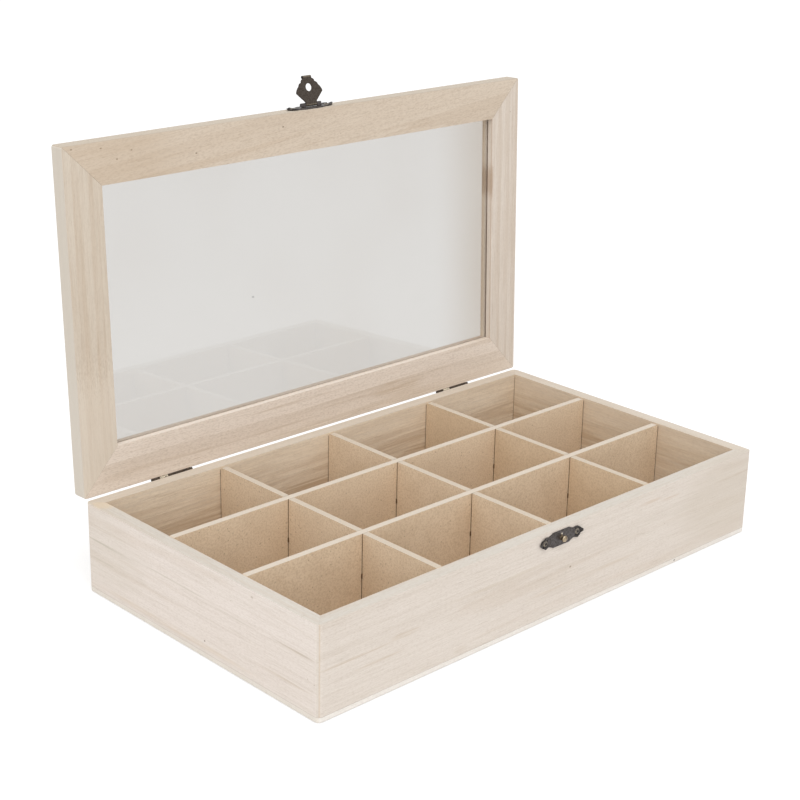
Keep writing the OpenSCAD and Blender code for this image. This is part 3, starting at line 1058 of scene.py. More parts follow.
@dataclass(frozen=True)
class MetalFinish:
    """Stamped metal with a mottled patina, darker seams, edges that wear pale, painted highlights
    and painted shade.
    """

    base: Colour = paint(80, 75, 75)
    blotch: Colour = paint(60, 54, 51)
    sheen: Colour = paint(108, 101, 97)
    # The pale colour serves wear and painted highlights; the dark colour serves seams, patina and
    # painted shade.
    rubbed_and_highlight: Colour = paint(190, 176, 150)
    dark: Colour = paint(20, 17, 15)
    metallic: float = 0.6
    rough_span: Spot = (0.30, 0.52)
    grain: float = 0.7
    sheen_depth: float = 0.6
    rubbed_and_highlight_depth: float = 0.7
    seam_and_shade_depth: float = 0.85

    def material(self, name: str) -> Material:
        """Makes the material.

        Args:
            name: Its name.

        Returns:
            The material.
        """
        recipe = Recipe(name)
        place = recipe.place(False)
        patches = Layer((self.grain,) * 3, 4.0, 0.62, 0.3, 0.40, 0.62)
        scratches = Layer((self.grain * 4,) * 3, 2.0, 0.6, 0.0, 0.48, 0.75)
        mottle, fine = recipe.noise(place, patches), recipe.noise(place, scratches)
        # The pale share is wear and painted highlights; the dark share is seams, patina and painted
        # shade.
        worn, seam = recipe.edge_tone()
        scuff_and_highlight = recipe.times(worn, recipe.range(fine, 0.35, 0.6))
        colour = recipe.blend(
            self.base,
            (recipe.shown(mottle, patches), self.blotch),
            (recipe.shown(fine, scratches, self.sheen_depth), self.sheen),
            (recipe.times(scuff_and_highlight, self.rubbed_and_highlight_depth), self.rubbed_and_highlight),
            (recipe.times(seam, self.seam_and_shade_depth), self.dark))
        rough = recipe.range(mottle, 0.3, 0.7, *self.rough_span)
        return recipe.finish(Base_Color=colour, Metallic=self.metallic, Roughness=rough,
                             Normal=recipe.bump(fine, 0.05, 0.5))


def sharp(edge: Edge, least: float = 40.0) -> bool:
    """Says whether an edge turns by more than some degrees."""
    return edge.calc_face_angle(0.0) > math.radians(least)


def middle_of(edge: Edge) -> Vector:
    """Returns the middle of an edge."""
    return (edge.verts[0].co + edge.verts[1].co) / 2


def upright(edge: Edge) -> bool:
    """Says whether an edge stands along z."""
    step = edge.verts[1].co - edge.verts[0].co
    return abs(step.x) < TINY and abs(step.y) < TINY


@dataclass
class Board:
    """One mitred side of a frame, with rounded outer corners."""

    name: str
    low: Point
    high: Point
    inner: Spot
    corner: float
    outer_round: float
    inner_round: float
    bottom_round: float
    groove: Optional[tuple[Point, Point]] = None
    # Tones of the outer bottom, outer top, inner top and inner bottom edges; the inner top edge is pale
    # for sanding wear and, on the box's rim, a painted highlight.
    foot_tone: float = 0.4
    top_tone: float = 0.4
    inner_top_tone: float = 1.0
    inner_foot_tone: float = 0.8

    def blank(self) -> Piece:
        """Makes the board with its corners, groove and softened edges, still square at its ends.

        Returns:
            The board.
        """
        piece = Bench.block(self.name, self.low, self.high)
        Bench.bevel(piece, self.corner, 10, lambda edge: upright(edge) and not self.is_inner(edge))
        if self.groove:
            Bench.combine(piece, Bench.block("groove", *self.groove), Join.CUT)
        top, bottom = self.high[2], self.low[2]
        Bench.bevel(piece, self.outer_round, 3, self.rim(top, False), self.top_tone)
        Bench.bevel(piece, self.inner_round, 3, self.rim(top, True), self.inner_top_tone)
        Bench.bevel(piece, self.bottom_round, 2, self.rim(bottom, False), self.foot_tone)
        Bench.bevel(piece, self.bottom_round, 2, self.rim(bottom, True), self.inner_foot_tone)
        return piece

    def is_inner(self, edge: Edge) -> bool:
        """Says whether an edge lies on the board's inner face."""
        axis, place = (0, self.inner[0]) if self.inner[0] else (1, self.inner[1])
        return abs(middle_of(edge)[axis] - place) < TINY

    def rim(self, height: float, inner: bool) -> Test:
        """Gives the test for the sharp level edges at a height, on the inner face or outside it."""
        def test(edge: Edge) -> bool:
            """Says whether an edge is one of them."""
            at_height = all(abs(vertex.co.z - height) < TINY for vertex in edge.verts)
            return at_height and sharp(edge) and self.is_inner(edge) == inner
        return test


def mitre(piece: Piece, outer: Spot, inner: Spot,
          keep: Spot, width: float, tone: Tone) -> None:
    """Cuts a board's end along the line between two corners of the frame.

    Args:
        piece: The board.
        outer: The frame's outer corner.
        inner: The frame's inner corner.
        keep: A point on the side that stays.
        width: Width of the fine bevel along the joint.
        tone: Tone of that bevel.
    """
    along = Vector((inner[0] - outer[0], inner[1] - outer[1], 0.0)).normalized()
    normal = Vector((-along.y, along.x, 0.0))
    if normal.dot(Vector((keep[0] - outer[0], keep[1] - outer[1], 0.0))) > 0:
        normal = -normal
    start = Vector((outer[0], outer[1], 0.0))
    Bench.cut(piece, tuple(start), tuple(normal))

    def on_joint(edge: Edge) -> bool:
        """Says whether an edge bounds the cut."""
        flat = all(abs((vertex.co - start).dot(normal)) < TINY for vertex in edge.verts)
        return flat and sharp(edge, 20.0)
    Bench.bevel(piece, width, 1, on_joint, tone)


# Streaks and spots of the walls.
WALL_MARKS: dict[str, tuple[Mark, ...]] = {
    "front_wall": (
        Mark((-150.0, 0.0, 28.4), (34.0, 0.0, 1.1), paint(196, 176, 152), 0.5),
        Mark((-116.0, 0.0, 29.6), (14.0, 0.0, 2.0), paint(190, 168, 138), 0.5),
        Mark((-134.0, 0.0, 21.0), (22.0, 0.0, 1.0), paint(202, 184, 162), 0.4),
        Mark((-76.0, 0.0, 6.4), (7.0, 0.0, 2.6), paint(206, 192, 176), 0.4),
        Mark((-40.0, 0.0, 36.0), (60.0, 0.0, 1.4), paint(208, 194, 174), 0.35),
        Mark((20.0, 0.0, 18.0), (70.0, 0.0, 1.6), paint(208, 190, 168), 0.35),
        Mark((78.0, 0.0, 47.0), (14.0, 0.0, 1.4), paint(206, 184, 162), 0.45),
        Mark((97.0, 0.0, 44.5), (12.0, 0.0, 1.6), paint(204, 182, 160), 0.45),
        Mark((158.0, 0.0, 41.6), (26.0, 0.0, 1.0), paint(188, 166, 142), 0.55),
        Mark((9.7, 0.0, 27.4), (1.1, 0.0, 0.8), paint(140, 120, 98), 0.7, False),
        Mark((150.0, 0.0, 30.0), (60.0, 0.0, 34.0), paint(206, 194, 178), 0.4, False),
    ),
    "left_wall": (
        Mark((0.0, 78.0, 33.4), (0.0, 30.0, 1.0), paint(186, 178, 160), 0.65),
        Mark((0.0, 20.0, 34.6), (0.0, 44.0, 0.9), paint(200, 190, 174), 0.55),
        Mark((0.0, -28.0, 33.0), (0.0, 28.0, 0.9), paint(192, 180, 162), 0.5),
        Mark((0.0, -80.0, 33.4), (0.0, 24.0, 1.0), paint(186, 170, 150), 0.6),
        Mark((0.0, 84.0, 22.6), (0.0, 16.0, 0.9), paint(198, 188, 172), 0.5),
        Mark((0.0, -72.0, 14.4), (0.0, 30.0, 0.9), paint(202, 186, 166), 0.5),
        Mark((0.0, -70.0, 46.6), (0.0, 24.0, 1.1), paint(206, 192, 174), 0.4),
        Mark((0.0, 20.0, 6.5), (0.0, 90.0, 2.4), paint(214, 196, 174), 0.4),
        Mark((0.0, -48.0, 50.2), (0.0, 1.4, 0.9), paint(168, 152, 130), 0.5, False),
        Mark((0.0, -8.1, 9.8), (0.0, 0.8, 0.6), paint(120, 96, 74), 0.8, False),
        Mark((-170.0, 90.0, 54.0), (7.0, 10.0, 3.0), paint(222, 198, 164), 0.5, False),
        Mark((0.0, 90.0, 30.0), (0.0, 60.0, 34.0), paint(206, 196, 180), 0.25, False),
    ),
}
BASE_MARKS = (
    Mark((105.2, 0.0, 1.6), (1.0, 0.0, 0.7), paint(96, 76, 58), 0.8, False),
    # The base's left end is darkened: painted shade that tones down the light on that side.
    Mark((-PLAN.width / 2, 0.0, 0.0), (1.5, 0.0, 0.0), paint(214, 202, 186), 0.35, False),
)


@dataclass
class Carcass:
    """The box: four mitred walls on a thin base with its brads."""

    corner: float = 3.0
    rim_round: float = 0.25
    foot_round: float = 0.12
    seam: float = 0.1
    base_foot_round: float = 0.35
    base_top_round: float = 0.15
    brad_shares_x: tuple[float, ...] = (-0.36, -0.12, 0.12, 0.36)
    brad_shares_y: tuple[float, ...] = (-0.24, 0.24)
    brad_head: float = 1.1
    recess_play: float = 0.05
    recess_deep: float = 0.65
    brad_profile: tuple[Spot, ...] = (
        (0.8, 0.02), (1.1, 0.16), (1.1, 0.6), (0.6, 0.75), (0.6, 11.0), (0.1, 12.0))

    def build(self) -> None:
        """Builds the walls, the base and the brads."""
        half_w, half_d = PLAN.width / 2, PLAN.depth / 2
        in_x, in_y = half_w - PLAN.wall, half_d - PLAN.wall
        low, high = PLAN.base, PLAN.height
        walls = (
            ("front_wall", (-half_w, -half_d), (half_w, -in_y), (0.0, -in_y), Grain.ALONG_X,
             (-150.0, 20.0), 1.0, paint(228, 218, 208)),
            ("back_wall", (-half_w, in_y), (half_w, half_d), (0.0, in_y), Grain.ALONG_X,
             (150.0, 44.0), 2.0, paint(223, 214, 203)),
            ("left_wall", (-half_w, -half_d), (-in_x, half_d), (-in_x, 0.0), Grain.ALONG_Y,
             (-215.0, 12.0), 3.0, paint(237, 227, 219)),
            ("right_wall", (in_x, -half_d), (half_w, half_d), (in_x, 0.0), Grain.ALONG_Y,
             (240.0, 36.0), 4.0, paint(223, 214, 203)),
        )
        for name, start, end, inner, grain, heart, seed, light in walls:
            far = name in ("back_wall", "right_wall")
            # On the back and right walls the rim's outer edge is darkened: painted shade.
            board = Board(name, (*start, low), (*end, high), inner, self.corner, self.rim_round,
                          self.rim_round, self.foot_round, foot_tone=-0.3,
                          top_tone=-0.3 if far else 0.0)
            piece = board.blank()
            for side in (-1, 1):
                outer, corner = self.joint(inner, side)
                mitre(piece, outer, corner, inner, self.seam, self.joint_tone)
            # The lining colour, darker on the right wall, is painted warm bounce light and shade.
            lining = paint(228, 211, 187) if name == "right_wall" else paint(236, 220, 197)
            wood = WoodFinish(light=light, grain=grain, heart=heart, seed=seed, streak_depth=0.2,
                              ring_depth=0.16, hair_depth=0.13, fibre_depth=0.28, grit_depth=0.20,
                              # The rim colour, darker than the wall, is painted shade that offsets the
                              # strong light on the tops.
                              inner=lining, rim=paint(214, 203, 188) if far else paint(211, 205, 196),
                              marks=self.corner_marks(grain) + WALL_MARKS.get(name, ()))
            Bench.deliver(piece, Body.BOX, Slot.WALL_WOOD, wood.material(name + "_wood"))
        self.build_base()
        self.build_brads()

    def corner_marks(self, grain: Grain) -> tuple[Mark, ...]:
        """Gives the fine lines down a wall's two ends: grey on the side walls, tan on the long ones.

        Args:
            grain: The way that the wall runs.

        Returns:
            The two lines.
        """
        inset = self.corner * (1 - math.sqrt(0.5))
        if grain is Grain.ALONG_Y:
            return tuple(Mark((0.0, side * (PLAN.depth / 2 - inset), 0.0), (0.0, 1.5, 0.0),
                              paint(206, 197, 185), 0.5, False) for side in (-1, 1))
        return tuple(Mark((side * (PLAN.width / 2 - inset), 0.0, 0.0), (0.8, 0.0, 0.0),
                          paint(202, 180, 154), 0.45, False) for side in (-1, 1))

    def joint(self, inner: Spot, side: int) -> tuple[Spot, ...]:
        """Gives the outer and inner corner of a wall's joint.

        Args:
            inner: The wall's inner face, as its nonzero coordinate.
            side: Which end, -1 or 1.

        Returns:
            The two corners.
        """
        half_w, half_d = PLAN.width / 2, PLAN.depth / 2
        in_x, in_y = half_w - PLAN.wall, half_d - PLAN.wall
        if inner[0]:
            sign = math.copysign(1, inner[0])
            return (sign * half_w, side * half_d), (sign * in_x, side * in_y)
        sign = math.copysign(1, inner[1])
        return (side * half_w, sign * half_d), (side * in_x, sign * in_y)

    @staticmethod
    def joint_tone(at: Vector) -> float:
        """Gives a joint's tone: faint down the outer corner, darkest inside, and soft on the rim.

        Args:
            at: A place on the joint.

        Returns:
            The tone.
        """
        out = max(abs(at.x) - (PLAN.width / 2 - PLAN.wall), abs(at.y) - (PLAN.depth / 2 - PLAN.wall))
        outer_strip, inner_strip = 1.6, 0.4
        if out > PLAN.wall - outer_strip:
            return -0.2
        return -1.0 if out < inner_strip else -0.35

    def brad_places(self) -> list[Matrix]:
        """Returns the places of the brads in the underside."""
        mid_x, mid_y = (PLAN.width - PLAN.wall) / 2, (PLAN.depth - PLAN.wall) / 2
        spots = [(share * PLAN.width, side * mid_y)
                 for share in self.brad_shares_x for side in (-1, 1)]
        spots += [(side * mid_x, share * PLAN.depth)
                  for share in self.brad_shares_y for side in (-1, 1)]
        return [Matrix.Translation((x, y, 0.0)) for x, y in spots]

    def build_base(self) -> None:
        """Builds the base panel with its brad recesses."""
        half_w, half_d = PLAN.width / 2, PLAN.depth / 2
        piece = Bench.block("base_panel", (-half_w, -half_d, 0.0), (half_w, half_d, PLAN.base))
        Bench.bevel(piece, self.corner, 10, upright)
        Bench.bevel(piece, self.base_foot_round, 2,
                    lambda edge: sharp(edge) and middle_of(edge).z < TINY, 0.1)
        Bench.bevel(piece, self.base_top_round, 1,
                    lambda edge: sharp(edge) and middle_of(edge).z > PLAN.base - TINY, -0.35)
        recess = Bench.rod("recess", (0.0, 0.0, 0.0), self.brad_head + self.recess_play,
                           2 * self.recess_deep, "Z")
        holes = Bench.repeat("recesses", recess, self.brad_places())
        Bench.combine(piece, holes, Join.CUT)
        # The base's darker inner colour is painted shade on the floors of the cells.
        wood = WoodFinish(light=paint(243, 238, 231), dark=paint(229, 220, 209), heart=(0.0, -90.0),
                          seed=5.0, ring_pitch=11.0, streak_depth=0.15, inner=paint(206, 186, 160),
                          marks=BASE_MARKS)
        Bench.deliver(piece, Body.BOX, Slot.BASE_WOOD, wood.material("base_wood"))

    def build_brads(self) -> None:
        """Builds the brads."""
        brad = Bench.turned("brad", self.brad_profile, 24)
        brads = Bench.repeat("base_brads", brad, self.brad_places())
        steel = MetalFinish(base=paint(150, 150, 150), blotch=paint(118, 112, 106),
                            sheen=paint(178, 178, 178), metallic=0.9, rough_span=(0.25, 0.45))
        Bench.deliver(brads, Body.BOX, Slot.STEEL_BRADS, steel.material("brad_steel"))


@dataclass
class Dividers:
    """Five half-lapped fibreboard dividers that make the twelve cells."""

    slot: float = 4.4
    slot_play: float = 0.2
    past: float = 1.0
    half_long: float = 166.75
    half_cross: float = 90.75
    corner: float = 1.6
    edge_round: float = 0.2

    def build(self) -> None:
        """Builds the two long and the three cross dividers."""
        half, gap, past = DIVIDER_THICK / 2, self.slot / 2, self.past
        reach = half + past
        columns = (-PLAN.divider_pitch_x, 0.0, PLAN.divider_pitch_x)
        low, middle, high = PLAN.base, PLAN.divider_middle, PLAN.divider_top
        rows = tuple(side * PLAN.divider_pitch_y / 2 for side in (-1, 1))
        for name, y in zip(("front", "back"), rows):
            slots = [((x - gap, y - reach, low - past), (x + gap, y + reach, middle + self.slot_play))
                     for x in columns]
            self.divider("long_divider_" + name, (-self.half_long, y - half, low),
                         (self.half_long, y + half, high), slots, FibreboardFinish(seed=y))
        faces = (paint(228, 208, 182), paint(228, 208, 182), paint(221, 199, 170))
        for name, x, face in zip(("left", "middle", "right"), columns, faces):
            slots = [((x - reach, y - gap, middle - self.slot_play), (x + reach, y + gap, high + past))
                     for y in rows]
            finish = FibreboardFinish(face=face, seed=40 + x, edge=paint(202, 190, 174), across=True)
            self.divider("cross_divider_" + name, (x - half, -self.half_cross, low),
                         (x + half, self.half_cross, high), slots, finish)

    def divider(self, name: str, low: Point, high: Point, slots: list[tuple[Point, Point]],
                finish: FibreboardFinish) -> None:
        """Builds one divider.

        Args:
            name: Its name.
            low: Lowest corner of the board.
            high: Highest corner of the board.
            slots: The blocks that its slots take away.
            finish: Its finish.
        """
        piece = Bench.block(name, low, high)

        def end_corner(edge: Edge) -> bool:
            """Says whether an edge is a short one at the board's top corners."""
            step = edge.verts[1].co - edge.verts[0].co
            return abs(step.length - DIVIDER_THICK) < TINY and middle_of(edge).z > high[2] - TINY
        Bench.bevel(piece, self.corner, 5, end_corner)
        for slot_low, slot_high in slots:
            Bench.combine(piece, Bench.block("slot", slot_low, slot_high), Join.CUT)
        Bench.bevel(piece, self.edge_round, 2, lambda edge: sharp(edge, 60.0))
        Bench.deliver(piece, Body.BOX, Slot.FIBREBOARD, finish.material(name + "_board"))


# The inner face of the lid's side rails, and the pin-holes in its front rail as x and y.
RAIL_EDGE = PLAN.width / 2 - PLAN.rail
PIN_HOLES = ((-169.0, -96.7), (-150.4, -95.0), (-130.9, -91.7), (-140.5, -88.0), (-87.6, -84.2),
             (-24.6, -91.2))
LID_MARKS: dict[str, tuple[Mark, ...]] = {
    "lid_front_rail": tuple(Mark((x, y, 0.0), (1.0, 0.6, 0.0), paint(112, 88, 66), 0.7, False)
                            for x, y in PIN_HOLES) + (
        Mark((-150.0, 0.0, 0.0), (60.0, 0.0, 0.0), paint(190, 168, 142), 0.3, False),
        # The outer front edge face is greyed: painted shade.
        Mark((0.0, -PLAN.depth / 2, 0.0), (0.0, 0.6, 0.0), paint(194, 183, 168), 0.75, False),
    ),
    "lid_left_rail": (
        Mark((0.0, 70.0, 0.0), (0.0, 60.0, 0.0), paint(230, 219, 204), 0.4, False),
        Mark((-PLAN.width / 2, 0.0, 0.0), (0.5, 0.0, 0.0), paint(210, 202, 190), 0.75, False),
    ),
    "lid_right_rail": (
        # A lighter strip on the inner face behind the pane: painted light.
        Mark((RAIL_EDGE, 0.0, 62.4), (0.3, 0.0, 2.6), paint(248, 232, 210), 0.7, False),
        Mark((RAIL_EDGE, 0.0, 54.6), (0.5, 0.0, 0.5), paint(186, 158, 132), 0.5, False),
        Mark((RAIL_EDGE + 0.4, -34.0, 0.0), (1.2, 15.0, 0.0), paint(160, 128, 96), 0.5, False),
        # A dark line where the pane enters the groove: painted shadow.
        Mark((RAIL_EDGE, 0.0, 58.1), (0.8, 0.0, 0.3), paint(84, 62, 46), 0.95, False),
        # The groove's inner faces are darkened: painted shade.
        Mark((RAIL_EDGE + 3.0, 0.0, PLAN.lid_middle()), (3.2, 0.0, 0.9), paint(150, 124, 100), 0.6,
             False),
    ),
    "lid_back_rail": (
        Mark((66.0, 88.0, 0.0), (30.0, 7.0, 0.0), paint(186, 162, 132), 0.4),
        Mark((40.0, 97.0, 0.0), (150.0, 4.0, 0.0), paint(176, 156, 130), 0.35),
        Mark((-60.0, 91.0, 0.0), (70.0, 1.0, 0.0), paint(182, 160, 134), 0.4),
        Mark((60.0, 84.0, 0.0), (80.0, 0.9, 0.0), paint(186, 164, 138), 0.4),
        Mark((-20.0, 78.0, 0.0), (60.0, 0.8, 0.0), paint(188, 166, 140), 0.4),
    ),
}


@dataclass
class LidFrame:
    """The lid: four mitred rails, grooved for the clear pane."""

    back_rail: float = 26.0
    corner: float = 1.5
    outer_round: float = 0.4
    inner_round: float = 0.3
    foot_round: float = 0.2
    seam: float = 0.08
    groove_depth: float = 5.0
    pane_thick: float = 1.2
    pane_play: float = 0.05
    pane_end_play: float = 0.5
    pane_round: float = 0.06

    def build(self) -> None:
        """Builds the rails and the pane."""
        half_w, half_d = PLAN.width / 2, PLAN.depth / 2
        in_x, front, back = RAIL_EDGE, PLAN.rail - half_d, half_d - self.back_rail
        low, high = PLAN.lid_base, PLAN.lid_base + PLAN.lid_thick
        deep = self.groove_depth
        pane_low = (low + high - self.pane_thick) / 2
        pane_high = pane_low + self.pane_thick
        groove = ((-in_x - deep, front - deep, pane_low - self.pane_play),
                  (in_x + deep, back + deep, pane_high + self.pane_play))
        corner_of = {(-1, -1): (-in_x, front), (1, -1): (in_x, front), (-1, 1): (-in_x, back),
                     (1, 1): (in_x, back)}
        rails = (
            ("lid_front_rail", (-half_w, -half_d), (half_w, front), (0.0, front), ((-1, -1), (1, -1)),
             Grain.ALONG_X, (-60.0, 150.0), 6.0, paint(215, 200, 182)),
            # The back rail is lighter than the others: painted light that makes up for the shade near
            # the box.
            ("lid_back_rail", (-half_w, back), (half_w, half_d), (0.0, back), ((-1, 1), (1, 1)),
             Grain.ALONG_X, (100.0, 140.0), 7.0, paint(233, 220, 207)),
            ("lid_left_rail", (-half_w, -half_d), (-in_x, half_d), (-in_x, 0.0), ((-1, -1), (-1, 1)),
             Grain.ALONG_Y, (-150.0, 160.0), 8.0, paint(213, 201, 185)),
            ("lid_right_rail", (in_x, -half_d), (half_w, half_d), (in_x, 0.0), ((1, -1), (1, 1)),
             Grain.ALONG_Y, (180.0, 150.0), 9.0, paint(223, 212, 200)),
        )
        for name, start, end, inner, ends, grain, heart, seed, light in rails:
            # The back rail's outer bottom edge is darkened: painted shade at the gap over the box.
            board = Board(name, (*start, low), (*end, high), inner, self.corner, self.outer_round,
                          self.inner_round, self.foot_round, groove,
                          foot_tone=-0.5 if name == "lid_back_rail" else 0.0)
            piece = board.blank()
            for sign_x, sign_y in ends:
                mitre(piece, (sign_x * half_w, sign_y * half_d), corner_of[(sign_x, sign_y)], inner,
                      self.seam, -0.8)
            long = grain is Grain.ALONG_X
            wood = WoodFinish(light=light, dark=paint(194, 174, 152), streak=paint(192, 170, 145),
                              pore=paint(150, 126, 102), worn=paint(232, 222, 208), grain=grain,
                              skew=6.0 if name == "lid_front_rail" else 0.0,
                              heart=heart, seed=seed, on_lid=True, speck_share=0.08,
                              fibre_depth=0.18 if long else 0.28, grit_depth=0.28 if long else 0.12,
                              hair_depth=0.05 if long else 0.16, relief=0.35,
                              streak_depth=0.30, ring_depth=0.30, band_pitch=5.0,
                              marks=LID_MARKS.get(name, ()))
            Bench.deliver(piece, Body.LID, Slot.LID_WOOD, wood.material(name + "_wood"), OPENED)
        deep -= self.pane_end_play
        pane = Bench.block("lid_pane", (-in_x - deep, front - deep, pane_low),
                           (in_x + deep, back + deep, pane_high))
        Bench.bevel(pane, self.pane_round, 1, sharp)
        pane.visible_shadow = False
        pane.visible_diffuse = False
        Bench.deliver(pane, Body.LID, Slot.CLEAR_PANE, PaneFinish().material("clear_pane"), OPENED)


@dataclass
class Hinges:
    """Two small hinges on the back faces, each with five knuckles and domed nails."""

    centres: Spot = (-115.0, 115.0)
    length: float = 29.0
    knuckle: float = 5.8
    gap: float = 0.2
    barrel: float = 0.75
    pin: float = 0.4
    pin_play: float = 0.05
    out: float = 0.8
    leaf: float = 0.5
    leaf_start: float = 1.05
    leaf_end: float = 8.8
    nail_x: float = 9.5
    nail_z: float = 4.925
    nail_hole: float = 0.75
    nail_length: float = 6.0
    nail_head: float = 1.3
    leaf_corner: float = 1.0
    edge_round: float = 0.08
    pin_round: float = 0.15
    # The near-white pale colour serves wear and the painted highlights on a knuckle and the nail rings.
    finish: MetalFinish = MetalFinish(base=paint(74, 60, 48), blotch=paint(50, 38, 29),
                                      sheen=paint(96, 80, 62), rubbed_and_highlight=paint(238, 226, 202),
                                      metallic=0.4)

    def build(self) -> None:
        """Builds both hinges."""
        bronze = self.finish.material("hinge_bronze")
        up = Matrix.Rotation(math.pi, 4, "Y")
        lie = Matrix.Rotation(math.pi / 2, 4, "Y")
        half, soft = self.length / 2, self.pin_round
        ends = ((self.pin - soft, -half), (self.pin, soft - half), (self.pin, half - soft),
                (self.pin - soft, half))
        for side, centre in zip(("left", "right"), self.centres):
            here = Matrix.Translation((centre, PLAN.pivot_y, PLAN.pivot_z))
            box_leaf = self.make_leaf(side + "_hinge_box_leaf", (0, 2, 4))
            Bench.deliver(box_leaf, Body.BOX, Slot.DARK_BRONZE, bronze, here)
            # One knuckle of the lid leaf is painted bright as a highlight.
            lid_leaf = self.make_leaf(side + "_hinge_lid_leaf", (1, 3), highlight_knuckle=3)
            Bench.deliver(lid_leaf, Body.LID, Slot.DARK_BRONZE, bronze, OPENED @ here @ up)
            pin = Bench.turned(side + "_hinge_pin", ends, 24)
            Bench.deliver(pin, Body.BOX, Slot.DARK_BRONZE, bronze, here @ lie)
        self.build_nails(bronze)

    def make_leaf(self, name: str, knuckles: tuple[int, ...], highlight_knuckle: int = -1) -> Piece:
        """Makes a leaf that hangs down from its pin.

        Args:
            name: Its name.
            knuckles: The knuckles that it carries, counted along x.
            highlight_knuckle: The knuckle painted bright as a highlight, if any.

        Returns:
            The leaf, its pin along x at the origin.
        """
        half = self.length / 2
        back, face = -self.out, self.leaf - self.out
        piece = Bench.block(name, (-half, back, -self.leaf_end), (half, face, -self.leaf_start))

        def corner(edge: Edge) -> bool:
            """Says whether an edge runs through the sheet."""
            step = edge.verts[1].co - edge.verts[0].co
            return abs(step.x) < TINY and abs(step.z) < TINY
        Bench.bevel(piece, self.leaf_corner, 5, corner)
        for number in knuckles:
            start = (number - 2.5) * self.knuckle + self.gap / 2
            end = start + self.knuckle - self.gap
            tongue = Bench.block("tongue", (start, back, -self.leaf_start - 1.0), (end, face, 0.0))
            barrel = Bench.rod("barrel", ((start + end) / 2, 0.0, 0.0), self.barrel, end - start)
            for part in (tongue, barrel):
                # The chosen knuckle is stained pale: a painted highlight.
                if number == highlight_knuckle:
                    Bench.stain(part, 1.5)
                Bench.combine(piece, part, Join.WELD)
        Bench.drill(piece, (0.0, 0.0, 0.0), self.pin + self.pin_play, self.length + 2)
        for x in (-self.nail_x, self.nail_x):
            Bench.drill(piece, (x, back, -self.nail_z), self.nail_hole, 4.0, "Y")
        Bench.bevel(piece, self.edge_round, 2, lambda edge: sharp(edge, 50.0), 0.35)
        return piece

    def build_nails(self, bronze: Material) -> None:
        """Builds the nails of both leaves.

        Args:
            bronze: Their material.
        """
        out = Matrix.Rotation(math.radians(-90), 4, "X")
        for name, side, body, place in (("hinge_box_nails", -1, Body.BOX, CLOSED),
                                        ("hinge_lid_nails", 1, Body.LID, OPENED)):
            spots = [(centre + x, PLAN.depth / 2 + self.leaf, PLAN.pivot_z + side * self.nail_z)
                     for centre in self.centres for x in (-self.nail_x, self.nail_x)]
            nails = Bench.repeat(name, domed_nail(self.nail_length + self.leaf, self.nail_head),
                                 [Matrix.Translation(spot) @ out for spot in spots])
            Bench.deliver(nails, body, Slot.DARK_BRONZE, bronze, place)


def domed_nail(length: float, head: float) -> Piece:
    """Makes a nail with a dimpled dome, its head's underside on z = 0.

    Args:
        length: Length under the head.
        head: Radius of the head.

    Returns:
        The nail.
    """
    profile = ((0.15, -length), (0.6, 1.2 - length), (0.6, 0.0), (0.97 * head, 0.0), (head, 0.12),
               (0.93 * head, 0.3), (0.78 * head, 0.48), (0.62 * head, 0.58), (0.5 * head, 0.58),
               (0.38 * head, 0.46), (0.2 * head, 0.3), (0.04 * head, 0.26))
    nail = Bench.turned("nail", profile)
    dimple, ring = 0.42 * head, 0.5 * head
    # The dimple is stained dark as painted shade, and the dome's outer ring pale as a painted
    # highlight.
    Bench.stain(nail, lambda at: -0.9 if at.xy.length < dimple else 0.6 if at.xy.length > ring
                and at.z > 0.1 else 0.0)
    return nail


